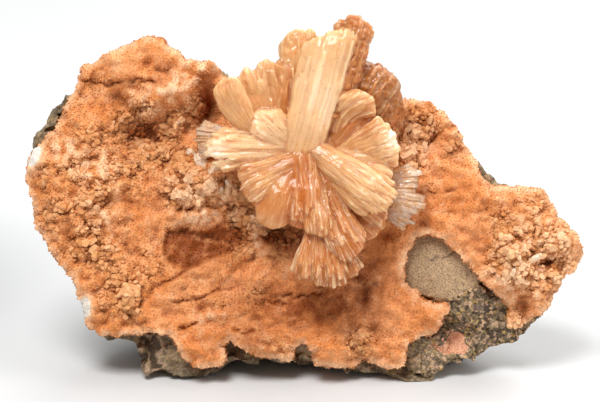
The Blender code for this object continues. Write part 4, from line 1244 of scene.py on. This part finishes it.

# Where the spray is warmer, or with a minus paler, than its sheaves: (u, v, half-width, half-height, amount).
# The amber in its middle is partly its own colour and partly painted shade; the amber in the recess, under
# the bright sheaf and between sheaves is painted shade, and the paler tips are painted glints
SPRAY_TONES_AND_PAINTED_LIGHT = [
    (-0.5, 39.3, 3.2, 4.4, 0.75),  # its amber middle
    (-1.6, 32.6, 2.6, 2.6, 0.6),
    # painted shade: the recess, and between the sheaves below
    (10.7, 49.9, 2.8, 3.0, 0.6),  # the recess
    (6.2, 34.5, 2.4, 4.4, 0.6),  # between the columns and the lower right sheaf
    (8.4, 26.5, 3.4, 3.4, 0.35),
    (-7.2, 34.5, 3.0, 3.0, 0.35),
    # painted shade under the bright sheaf and, next, between the curtain and the upright sheaf
    (-12.0, 42.2, 3.4, 1.2, 0.8),  # under the bright sheaf
    (-4.3, 52.8, 2.0, 5.0, 0.35),  # between the curtain and the upright sheaf
    (3.4, 54.7, 3.6, 8.0, -0.6),
    # painted glints: the bright sheaf's tips, and the white tips at the right below
    (-16.8, 44.1, 3.0, 3.2, -0.8),  # tips of the bright sheaf
    (-7.8, 49.2, 3.6, 3.2, -0.25),
    (10.1, 39.3, 4.4, 2.6, -0.2),
    (17.6, 47.4, 2.4, 3.4, -1.7),  # white tips at the right
]

CRYSTAL_SECTION = [
    (-1.0, 0.1), (-0.82, 0.8), (-0.4, 1.0), (0.4, 1.0), (0.82, 0.8), (1.0, 0.1), (0.8, -0.9), (-0.8, -0.9),
]
CRYSTAL_STATIONS = (0.0, 0.12, 0.26, 0.4, 0.54, 0.68, 0.8, 0.89, 0.955, 1.0)
FLARE = 1.3
SPRAY_LAYERS = ("along", "across", "tint", "warm", "relief", "grain", "hollow")


def tapered(t):
    """How much of its width and depth a long crystal keeps at a station."""
    end = max(0.0, (t - 0.86) / 0.14)
    return 1.0 - 0.5 * end**2, 1.0 - 0.72 * end**1.6


def fan_frame(root, tip, turn):
    """The fan's axis, the direction across it and the direction out of it."""
    axis = (tip - root).normalized()
    wide = axis.cross(Vector((0.0, 0.0, 1.0))).normalized()
    wide.rotate(Matrix.Rotation(math.radians(turn), 3, axis))
    return axis, wide, wide.cross(axis)


def grow_crystal(bm, layers, spine, out, half_widths, half_depths, marks):
    """One long crystal, extruded from station to station of its spine."""
    base = bmesh.ops.create_circle(bm, cap_ends=True, segments=len(CRYSTAL_SECTION), radius=1.0)["verts"]
    for corner, vert in enumerate(base):
        vert[layers["corner"]] = corner
    face = base[0].link_faces[0]
    for station, at in enumerate(spine):
        ahead = spine[min(station + 1, len(spine) - 1)] - spine[max(station - 1, 0)]
        wide = ahead.cross(out).normalized()
        deep = wide.cross(ahead).normalized()
        if station:
            raised = bmesh.ops.extrude_face_region(bm, geom=[face])["geom"]
            face = next(part for part in raised if isinstance(part, bmesh.types.BMFace))
        for vert in face.verts:
            x, y = CRYSTAL_SECTION[vert[layers["corner"]]]
            vert.co = at + wide * x * half_widths[station] + deep * y * half_depths[station]
            mark(vert, layers, {**marks, "across": marks["across"] + x * half_widths[station]})
            grown = (marks["end"] - marks["start"]) * station / (len(spine) - 1)
            vert[layers["along"]] = marks["start"] + grown


def mark(vert, layers, marks):
    for name in SPRAY_LAYERS:
        if name in marks:
            vert[layers[name]] = marks[name]


def spray_layers(bm):
    layers = {name: bm.verts.layers.float.new(name) for name in SPRAY_LAYERS}
    layers["corner"] = bm.verts.layers.int.new("corner")
    return layers


BODY_STATIONS = (0.0, 0.1, 0.2, 0.3, 0.4, 0.5, 0.6, 0.7, 0.78, 0.85, 0.91, 0.955, 0.985, 1.0)
GROOVE = 0.12  # mm between crystals, at full relief
GROOVE_SHORT = 0.006  # how much shorter a groove is than the crystals beside it
NARROWEST, WIDEST = 0.5, 1.7  # crystals' shares of a sheaf's width
SHORT_CRYSTALS = 0.12  # share of the crystals that end well short of the others
LIFT = 0.15  # mm up or down, at full relief
BODY_WAVE, BODY_WAVE_SIZE = 0.22, 3.6


class Fan:
    """The frame of a sheaf: where a point lies that is so far along it, across it and out of it."""

    def __init__(self, shape):
        self.shape = shape
        self.root = Vector(shape.root)
        self.length = (Vector(shape.tip) - self.root).length
        self.axis, self.wide, self.out = fan_frame(self.root, Vector(shape.tip), shape.turn)

    def width(self, t):
        return self.shape.root_width + (self.shape.tip_width - self.shape.root_width) * t**FLARE

    def half_depth(self, a, t):
        depth = self.shape.root_depth + (self.shape.tip_depth - self.shape.root_depth) * t
        end = max(0.0, (t - 0.72) / 0.28)
        return depth / 2 * math.sqrt(1.0 - (0.88 * a) ** 2) * math.sqrt(1.0 - 0.9 * end**2.4)

    def shortfall(self, a):
        """What share of the length the domed and sloping end lacks at a place across it."""
        return self.shape.dome * a * a - self.shape.slope * a

    def point(self, a, t, short, lift):
        """The point at a across, from -1 to 1, and t along, from 0 to 1, lifted out of the sheaf's middle."""
        at = self.root + self.axis * self.length * (1.0 - short) * t
        at += self.wide * (a * self.width(t) / 2 + self.shape.bow * 4 * t * (1 - t))
        at += self.out * lift
        return at + noise.noise_vector(at / BODY_WAVE_SIZE) * BODY_WAVE


def sheaf_body(fan, rng):
    """The sheaf as one fanned solid whose faces are ribbed by the edges of its crystals."""
    shape = fan.shape
    shares = [rng.uniform(NARROWEST, WIDEST) for _ in range(shape.crystals)]
    edges = [sum(shares[:i]) / sum(shares) * 2.0 - 1.0 for i in range(shape.crystals + 1)]
    shorts = [
        shape.ragged * (rng.uniform(-0.5, 1.0) + (rng.random() < SHORT_CRYSTALS) * rng.uniform(0.5, 1.5))
        for _ in range(shape.crystals)
    ]
    lifts = [shape.relief * rng.uniform(-LIFT, LIFT) for _ in range(shape.crystals)]
    groove = GROOVE * shape.relief
    tints = [rng.random() for _ in range(shape.crystals)]
    columns = []
    for i in range(shape.crystals):
        left, right = edges[i], edges[i + 1]
        before = max(i - 1, 0)
        deepest = min(lifts[before], lifts[i]) - groove
        columns.append((left, max(shorts[before], shorts[i]) + GROOVE_SHORT, deepest, i))
        for share in (0.25, 0.75):
            columns.append((left + (right - left) * share, shorts[i], lifts[i], i))
    columns.append((1.0, shorts[-1], lifts[-1] - groove, shape.crystals - 1))

    bm = bmesh.new()
    layers = spray_layers(bm)
    across, stations = len(columns) - 1, len(BODY_STATIONS) - 1
    bmesh.ops.create_grid(bm, x_segments=across, y_segments=stations, size=0.5)
    front = set(only(bmesh.types.BMVert, bmesh.ops.extrude_face_region(bm, geom=bm.faces[:])["geom"]))
    for vert in bm.verts:
        a, short, lift, crystal = columns[round((vert.co.x + 0.5) * across)]
        t = BODY_STATIONS[round((vert.co.y + 0.5) * stations)]
        side = 1.0 if vert in front else -1.0
        out = side * (fan.half_depth(a, t) + lift)
        vert.co = fan.point(a, t, fan.shortfall(a) + short * min(1.0, t * 1.4), out)
        marks = {
            "along": t, "across": a * shape.tip_width / 2, "tint": tints[crystal],
            "warm": shape.warm, "relief": shape.relief, "grain": shape.grain,
        }
        mark(vert, layers, marks)
    bmesh.ops.recalc_face_normals(bm, faces=bm.faces)
    return bm


RAISED = 2.2  # raised crystals for each crystal of a sheaf, at full relief
RAISED_DEPTH = 0.7
RAISED_COOLER = 0.2  # how much cooler their colour is than the sheaf's


def raised_crystals(fan, rng):
    """Single crystals that stand a little out of the sheaf's front and end short of its own end."""
    shape = fan.shape
    bm = bmesh.new()
    layers = spray_layers(bm)
    for _ in range(round(shape.crystals * shape.relief * RAISED)):
        a = rng.uniform(-0.9, 0.9)
        start, end = rng.uniform(0.0, 0.5), rng.uniform(0.7, 0.98)
        half_width = rng.uniform(0.15, 0.5)
        proud = shape.relief * rng.uniform(0.05, 0.55)
        spine, half_widths, half_depths = [], [], []
        for station in CRYSTAL_STATIONS:
            t = start + (end - start) * station
            keep_width, keep_depth = tapered(station)
            depth = RAISED_DEPTH * keep_depth
            lift = fan.half_depth(a, min(t, 0.97)) + proud * station - depth + 0.1
            spine.append(fan.point(a, t, fan.shortfall(a), lift))
            half_widths.append(half_width * (0.5 + 0.5 * station) * keep_width)
            half_depths.append(depth)
        marks = {
            "start": start, "end": end, "across": a * shape.tip_width / 2, "tint": rng.random(),
            "warm": shape.warm - RAISED_COOLER, "relief": shape.relief, "grain": 0.0,
        }
        grow_crystal(bm, layers, spine, fan.out, half_widths, half_depths, marks)
    bmesh.ops.recalc_face_normals(bm, faces=bm.faces)
    return bm


PETAL_ROUNDING = 0.72  # below 1 makes a petal's sides fuller than an ellipse's
PETAL_WAVE, PETAL_WAVE_SIZE = 0.3, 2.6
PETAL_RELIEF, PETAL_GRAIN = 0.5, 0.05


def broad_petal(shape, rng):
    """One broad smooth crystal with a rounded outline, in a mesh of its own."""
    root, tip = Vector(shape.root), Vector(shape.tip)
    axis, wide, out = fan_frame(root, tip, shape.turn)
    half = (tip - root).length / 2
    middle = (root + tip) / 2
    bm = bmesh.new()
    layers = spray_layers(bm)
    bmesh.ops.create_uvsphere(bm, u_segments=36, v_segments=22, radius=1.0)
    tint = rng.random()
    for vert in bm.verts:
        x, y, z = vert.co
        x = math.copysign(abs(x) ** PETAL_ROUNDING, x)
        along = (z + 1.0) / 2.0
        spread = shape.root_share + (1.0 - shape.root_share) * along
        across = x * spread * shape.width / 2
        at = middle + axis * z * half + wide * across + out * y * shape.depth / 2
        vert.co = at + noise.noise_vector(at / PETAL_WAVE_SIZE) * PETAL_WAVE
        marks = {
            "along": along, "across": x * shape.width / 2, "tint": tint,
            "warm": shape.warm, "relief": PETAL_RELIEF, "grain": PETAL_GRAIN,
        }
        mark(vert, layers, marks)
    bmesh.ops.recalc_face_normals(bm, faces=bm.faces)
    return bm


def joined(meshes):
    """Several of the spray's bodies in one bmesh."""
    whole = bmesh.new()
    spray_layers(whole)
    return merged(whole, meshes)


def marks_at(source, tree, layers, at):
    """The attributes of the nearest point on the source's surface."""
    found, _, index, _ = tree.find_nearest(at)
    corners = source.faces[index].verts
    shares = poly_3d_calc([vert.co for vert in corners], found)
    return {
        name: sum(share * vert[layers[name]] for share, vert in zip(shares, corners)) for name in SPRAY_LAYERS
    }


def fibre(across, along, tint, size):
    """Ribs that run lengthwise, about this wide in mm, with narrow grooves between them."""
    value = noise.noise(Vector((across / size, along * 1.4, tint)))
    return 1.0 - math.exp(-((value / 0.22) ** 2))


# The spray's surface, in mm
RIB_SIZE, RIB_HEIGHT = 1.5, 0.16
FINE_RIB_SIZE, FINE_RIB_HEIGHT = 0.7, 0.1
RIB_MIDDLE = 0.12  # ribs rise and sink about this height
SPRAY_GRAIN_SIZE = 1.2
UNEVEN = ((2.8, 0.22), (1.2, 0.1), (0.6, 0.04))  # size and height of its slight unevenness


def surface_rise(p, marks):
    """How far the spray's surface stands out at a point: its ribs, its grains and a slight unevenness."""
    stray, along = marks["across"] + 0.3 * noise.noise(p / 3.0), marks["along"]
    ribs = RIB_HEIGHT * fibre(stray, along, 3.0, RIB_SIZE)
    ribs += FINE_RIB_HEIGHT * fibre(stray, along, 9.0, FINE_RIB_SIZE)
    grains = lump(p / SPRAY_GRAIN_SIZE) * 0.8 + 0.2 * noise.noise(p / 0.5)
    uneven = sum(height * noise.noise(p / size) for size, height in UNEVEN)
    return marks["relief"] * (ribs - RIB_MIDDLE) + marks["grain"] * grains + uneven


# the hollows are painted deep amber as shade, the ridges paler as highlights
SOFTER_PASSES = 14  # what lies below the face smoothed so often is a hollow
HOLLOW_DEPTH = 0.5  # mm


def grown_together(source, voxel):
    """The bodies of the source as one mass with soft joins, ribbed lengthwise and grainy as they say."""
    source.faces.ensure_lookup_table()
    bmesh.ops.triangulate(source, faces=source.faces)
    source.faces.ensure_lookup_table()
    source_layers = {name: source.verts.layers.float[name] for name in SPRAY_LAYERS}
    tree = BVHTree.FromBMesh(source)
    bm = remeshed("mass", source.copy(), voxel)
    layers = spray_layers(bm)
    smoothed(bm, 1)
    bm.normal_update()
    softer = bm.copy()
    smoothed(softer, SOFTER_PASSES)
    shifts = []
    for vert, soft in zip(bm.verts, softer.verts):
        marks = marks_at(source, tree, source_layers, vert.co)
        marks["hollow"] = 0.5 + (soft.co - vert.co).dot(vert.normal) / HOLLOW_DEPTH
        mark(vert, layers, marks)
        shifts.append(vert.normal * surface_rise(vert.co, marks))
    softer.free()
    tone_and_painted_light_layer = bm.verts.layers.float.new("tone_and_painted_light")
    u, v, _ = np.array([vert.co for vert in bm.verts]).T
    for vert, shift, tone_and_painted_light in zip(bm.verts, shifts, swells(SPRAY_TONES_AND_PAINTED_LIGHT, u, v)):
        vert.co += shift
        vert[tone_and_painted_light_layer] = float(tone_and_painted_light)
    return bm


SATIN, GLOSSY = 0.46, 0.12  # the roughness of the crystals' faces, and of the glints on them
STILBITE_FINISH = {
    "Roughness": SATIN, "Subsurface Weight": 0.75, "Subsurface Radius": (1.0, 0.7, 0.45),
    "Subsurface Scale": 3.4 * MM, "Specular IOR Level": 0.3, "Coat Weight": 0.42, "Coat Roughness": 0.1,
}


def stilbite_material(colours):
    material, tree, shader = new_material("stilbite", STILBITE_FINISH)
    along, tint, warm, hollow, relief = (
        attribute_value(tree, name) for name in ("along", "tint", "warm", "hollow", "relief")
    )
    streaks = grouped(tree, "streaks", {"Stretch": 1.6, "Drift": calculated(tree, "MULTIPLY", warm, 7.0)})
    broad, fine = streaks["Broad"], streaks["Fine"]
    place = plate_place(tree)
    patches = noise_value(tree, place, 3.6, 3.0, 0.5)
    flecks = noise_value(tree, place, 0.5, 1.0, 0.4)
    # the sheaves' warmth, with the painted shade and painted glints of the spray's tones
    warmth_and_painted_light = calculated(tree, "ADD", warm, attribute_value(tree, "tone_and_painted_light"))
    amber = tuple(colours.amber)
    colour = layered(tree, tuple(colours.peach), [
        (patches, 0.38, 0.62, 1.0, paint(224, 170, 112)),
        # amber of the warm sheaves, and painted shade
        (warmth_and_painted_light, 0.1, 1.0, 0.9, amber),
        (warm, 0.75, 0.98, 0.9, paint(150, 88, 26)),  # the ochre sheaves
        (warmth_and_painted_light, 0.0, -0.8, 0.9, tuple(colours.cream)),
        # painted glints: the white tips
        (warmth_and_painted_light, -0.7, -1.3, 0.8, paint(255, 240, 220)),  # the white tips
        (along, 0.5, 0.0, 0.45, amber),  # towards the root
        # painted shade in the recesses, and a painted highlight on the ridges
        (hollow, 0.52, 0.95, 0.78, paint(184, 88, 6)),  # recesses
        (hollow, 0.42, 0.0, 0.7, paint(246, 214, 174)),  # ridges
    ])
    fibrous = ranged(tree, relief, 0.25, 0.9, 0.2, 1.0)
    colour = layered(tree, colour, [
        (broad, 0.52, 0.66, 0.3, paint(236, 200, 150)),
        (broad, 0.48, 0.36, 0.45, amber),
        (fine, 0.46, 0.34, 0.42, paint(166, 86, 22)),
        # painted glint lines along the ribs
        (fine, 0.56, 0.66, 0.42, paint(252, 224, 180)),
    ], fibrous)
    colour = layered(tree, colour, [
        (tint, 0.7, 1.0, 0.25, paint(244, 212, 172)),
        (flecks, 0.3, 0.25, 0.4, paint(150, 82, 42)),
    ])
    glint = calculated(tree, "MULTIPLY", ranged(tree, fine, 0.54, 0.64), ranged(tree, broad, 0.5, 0.6))
    glint = calculated(tree, "MULTIPLY", glint, ranged(tree, noise_value(tree, place, 2.2, 2.0), 0.5, 0.6))
    glint = calculated(tree, "MULTIPLY", glint, ranged(tree, relief, 0.4, 0.9))
    tree.links.new(ranged(tree, glint, 0.0, 1.0, SATIN, GLOSSY), shader.inputs["Roughness"])
    # painted glints: the glossy spots are also painted near white
    colour = mixed(tree, calculated(tree, "MULTIPLY", glint, 0.85), colour, paint(255, 246, 232))
    tree.links.new(colour, shader.inputs["Base Color"])
    bumped(tree, shader, calculated(tree, "ADD", fine, broad), 0.7, 0.26 * MM)
    return material


def stilbite_spray(sizes, colours):
    noise.seed_set(NOISE_SEED)
    rng = random.Random(11)
    fans = [Fan(shape) for shape in SHEAVES.values()]
    bodies = [sheaf_body(fan, rng) for fan in fans] + [broad_petal(shape, rng) for shape in PETALS.values()]
    source = joined(bodies + [raised_crystals(fan, rng) for fan in fans])
    spray = finished_object("spray", grown_together(source, sizes.spray_voxel / MM), 40.0)
    source.free()
    spray.data.materials.append(stilbite_material(colours))
    hand_over(spray, "stilbite", "stilbite_spray")


def glassy_material(colours, name="glassy_stilbite", clear=0.5):
    material, tree, shader = new_material(name, {"Roughness": 0.1, "Transmission Weight": clear, "IOR": 1.5})
    place = plate_place(tree)
    streaks = grouped(tree, "streaks", {"Stretch": 1.0, "Drift": 0.0})["Broad"]
    cloudy = noise_value(tree, place, 1.6, 3.0, 0.6)
    colour = layered(tree, paint(246, 200, 150), [
        (cloudy, 0.4, 0.6, 1.0, paint(255, 234, 210)),
        (streaks, 0.45, 0.3, 0.5, paint(226, 156, 92)),
    ])
    tree.links.new(colour, shader.inputs["Base Color"])
    facets = add_node(tree, "ShaderNodeTexVoronoi", {"Vector": place, "Scale": 1.0 / 0.9}).outputs["Distance"]
    bumped(tree, shader, calculated(tree, "ADD", streaks, facets), 0.8, 0.3 * MM)
    return material


def glassy_sheaves(colours):
    noise.seed_set(NOISE_SEED)
    material = glassy_material(colours)
    for name, (shape, node, seed) in GLASSY_SHEAVES.items():
        piece = finished_object(name, joined([sheaf_body(Fan(shape), random.Random(seed))]), 32.0)
        piece.data.materials.append(material)
        hand_over(piece, "glassy_stilbite", node)


# Operators


class STILBITE_OT_rock(bpy.types.Operator):
    """Make the basalt rock"""

    bl_idname = "stilbite.rock"
    bl_label = "Basalt Rock"

    def execute(self, context):
        basalt_rock(context.scene.stilbite_sizes, context.scene.stilbite_colours)
        return {"FINISHED"}


class STILBITE_OT_crust(bpy.types.Operator):
    """Make the orange crust"""

    bl_idname = "stilbite.crust"
    bl_label = "Orange Crust"

    def execute(self, context):
        orange_crust(context.scene.stilbite_sizes, context.scene.stilbite_colours)
        return {"FINISHED"}


class STILBITE_OT_druse(bpy.types.Operator):
    """Strew the druse crystals over the crust"""

    bl_idname = "stilbite.druse"
    bl_label = "Druse Crystals"

    def execute(self, context):
        druse_crystals(context.scene.stilbite_sizes, context.scene.stilbite_colours)
        return {"FINISHED"}


class STILBITE_OT_spray(bpy.types.Operator):
    """Make the spray's sheaves and petals"""

    bl_idname = "stilbite.spray"
    bl_label = "Stilbite Spray"

    def execute(self, context):
        stilbite_spray(context.scene.stilbite_sizes, context.scene.stilbite_colours)
        return {"FINISHED"}


class STILBITE_OT_glassy(bpy.types.Operator):
    """Make the two glassy sheaves beside the spray, and the clear crystals on the crust"""

    bl_idname = "stilbite.glassy"
    bl_label = "Glassy Sheaves"

    def execute(self, context):
        glassy_sheaves(context.scene.stilbite_colours)
        clear_crystals(context.scene.stilbite_colours)
        return {"FINISHED"}


class STILBITE_OT_stage(bpy.types.Operator):
    """Make the floor, the lights and the camera"""

    bl_idname = "stilbite.stage"
    bl_label = "Stage"

    def execute(self, context):
        make_stage(context)
        return {"FINISHED"}


# Stage


CAMERA_AT = (-0.49, 35.3, 600.0)  # millimetres on the plate
SENSOR_WIDTH, LENS = 36.0, 183.6
# The floor's colours, and a painted shadow that darkens it towards the left: its middle in metres, and one
# over its reach in each direction
FLOOR_LIGHT, FLOOR_SHADOW = (0.655, 0.66, 0.66), (0.4, 0.405, 0.405)
FLOOR_SHADOW_AT = (-0.09, 0.04, 0.0)
FLOOR_SHADOW_SHARE = (1.0 / 0.06, 1.0 / 0.07, 0.0)
FLOOR_REACH = 3.0

MIDDLE = (0.0, 0.0, 0.035)  # of the specimen
# The lights, in metres: where each is, where it points, its width, and its power in watts
LIGHTS = {
    "key": ((-0.16, -0.42, 0.76), MIDDLE, 0.34, 7.6),
    "overhead": ((0.3, 0.35, 0.85), MIDDLE, 0.9, 6.0),
    "right_fill": ((0.8, -0.2, 0.4), MIDDLE, 0.5, 3.0),
    "backdrop": ((0.5, 1.1, 0.8), (0.15, 0.7, 0.0), 0.8, 6.0),
}
STUDIO_LIGHT = 0.28


def area_light(name, at, towards, size, power):
    light = bpy.data.lights.new(name, "AREA")
    light.size = size
    light.energy = power
    obj = linked(name, light)
    obj.location = at
    obj.rotation_euler = (Vector(towards) - Vector(at)).to_track_quat("-Z", "Y").to_euler()


def make_stage(context):
    bm = bmesh.new()
    bmesh.ops.create_grid(bm, x_segments=1, y_segments=1, size=FLOOR_REACH)
    floor = linked("floor", mesh_data("floor", bm))
    material, tree, shader = new_material("floor", {"Roughness": 0.6})
    place = tree.nodes.new("ShaderNodeTexCoord").outputs["Object"]
    # painted shadow: the floor is darker at the left
    floor_shadow = ranged(tree, reach(tree, place, FLOOR_SHADOW_AT, FLOOR_SHADOW_SHARE), 1.0, 0.2)
    tree.links.new(mixed(tree, floor_shadow, FLOOR_LIGHT, FLOOR_SHADOW), shader.inputs["Base Color"])
    floor.data.materials.append(material)

    camera = linked("camera", bpy.data.cameras.new("camera"))
    camera.data.sensor_width, camera.data.lens = SENSOR_WIDTH, LENS
    camera.data.clip_start = 0.01
    camera.location = PLATE @ Vector(CAMERA_AT)
    camera.rotation_euler = PLATE_TURN.to_euler()
    context.scene.camera = camera
    for name, light in LIGHTS.items():
        area_light(name, *light)

    world = bpy.data.worlds.new("studio")
    world.use_nodes = True
    background = world.node_tree.nodes["Background"].inputs
    background["Color"].default_value = (1.0, 1.0, 1.0, 1.0)
    background["Strength"].default_value = STUDIO_LIGHT
    context.scene.world = world
    context.scene.view_settings.view_transform = "Standard"


class STILBITE_PT_panel(bpy.types.Panel):
    """Lists the specimen's pieces"""

    bl_label = "Stilbite Cluster"
    bl_idname = "STILBITE_PT_panel"
    bl_space_type = "VIEW_3D"
    bl_region_type = "UI"
    bl_category = "Stilbite"

    def draw(self, context):
        for operator in OPERATORS:
            self.layout.operator(operator.bl_idname)
        for group in (context.scene.stilbite_sizes, context.scene.stilbite_colours):
            for name in group.__annotations__:
                self.layout.prop(group, name)


OPERATORS = (
    STILBITE_OT_rock, STILBITE_OT_crust, STILBITE_OT_druse, STILBITE_OT_spray, STILBITE_OT_glassy,
    STILBITE_OT_stage,
)
CLASSES = (StilbiteSizes, StilbiteColours, *OPERATORS, STILBITE_PT_panel)


def register():
    for cls in CLASSES:
        bpy.utils.register_class(cls)
    bpy.types.Scene.stilbite_sizes = PointerProperty(type=StilbiteSizes)
    bpy.types.Scene.stilbite_colours = PointerProperty(type=StilbiteColours)


def unregister():
    del bpy.types.Scene.stilbite_colours
    del bpy.types.Scene.stilbite_sizes
    for cls in reversed(CLASSES):
        bpy.utils.unregister_class(cls)


def main():
    register()
    bpy.ops.stilbite.rock()
    bpy.ops.stilbite.crust()
    bpy.ops.stilbite.druse()
    bpy.ops.stilbite.spray()
    bpy.ops.stilbite.glassy()
    bpy.ops.stilbite.stage()


if __name__ == "__main__":
    main()
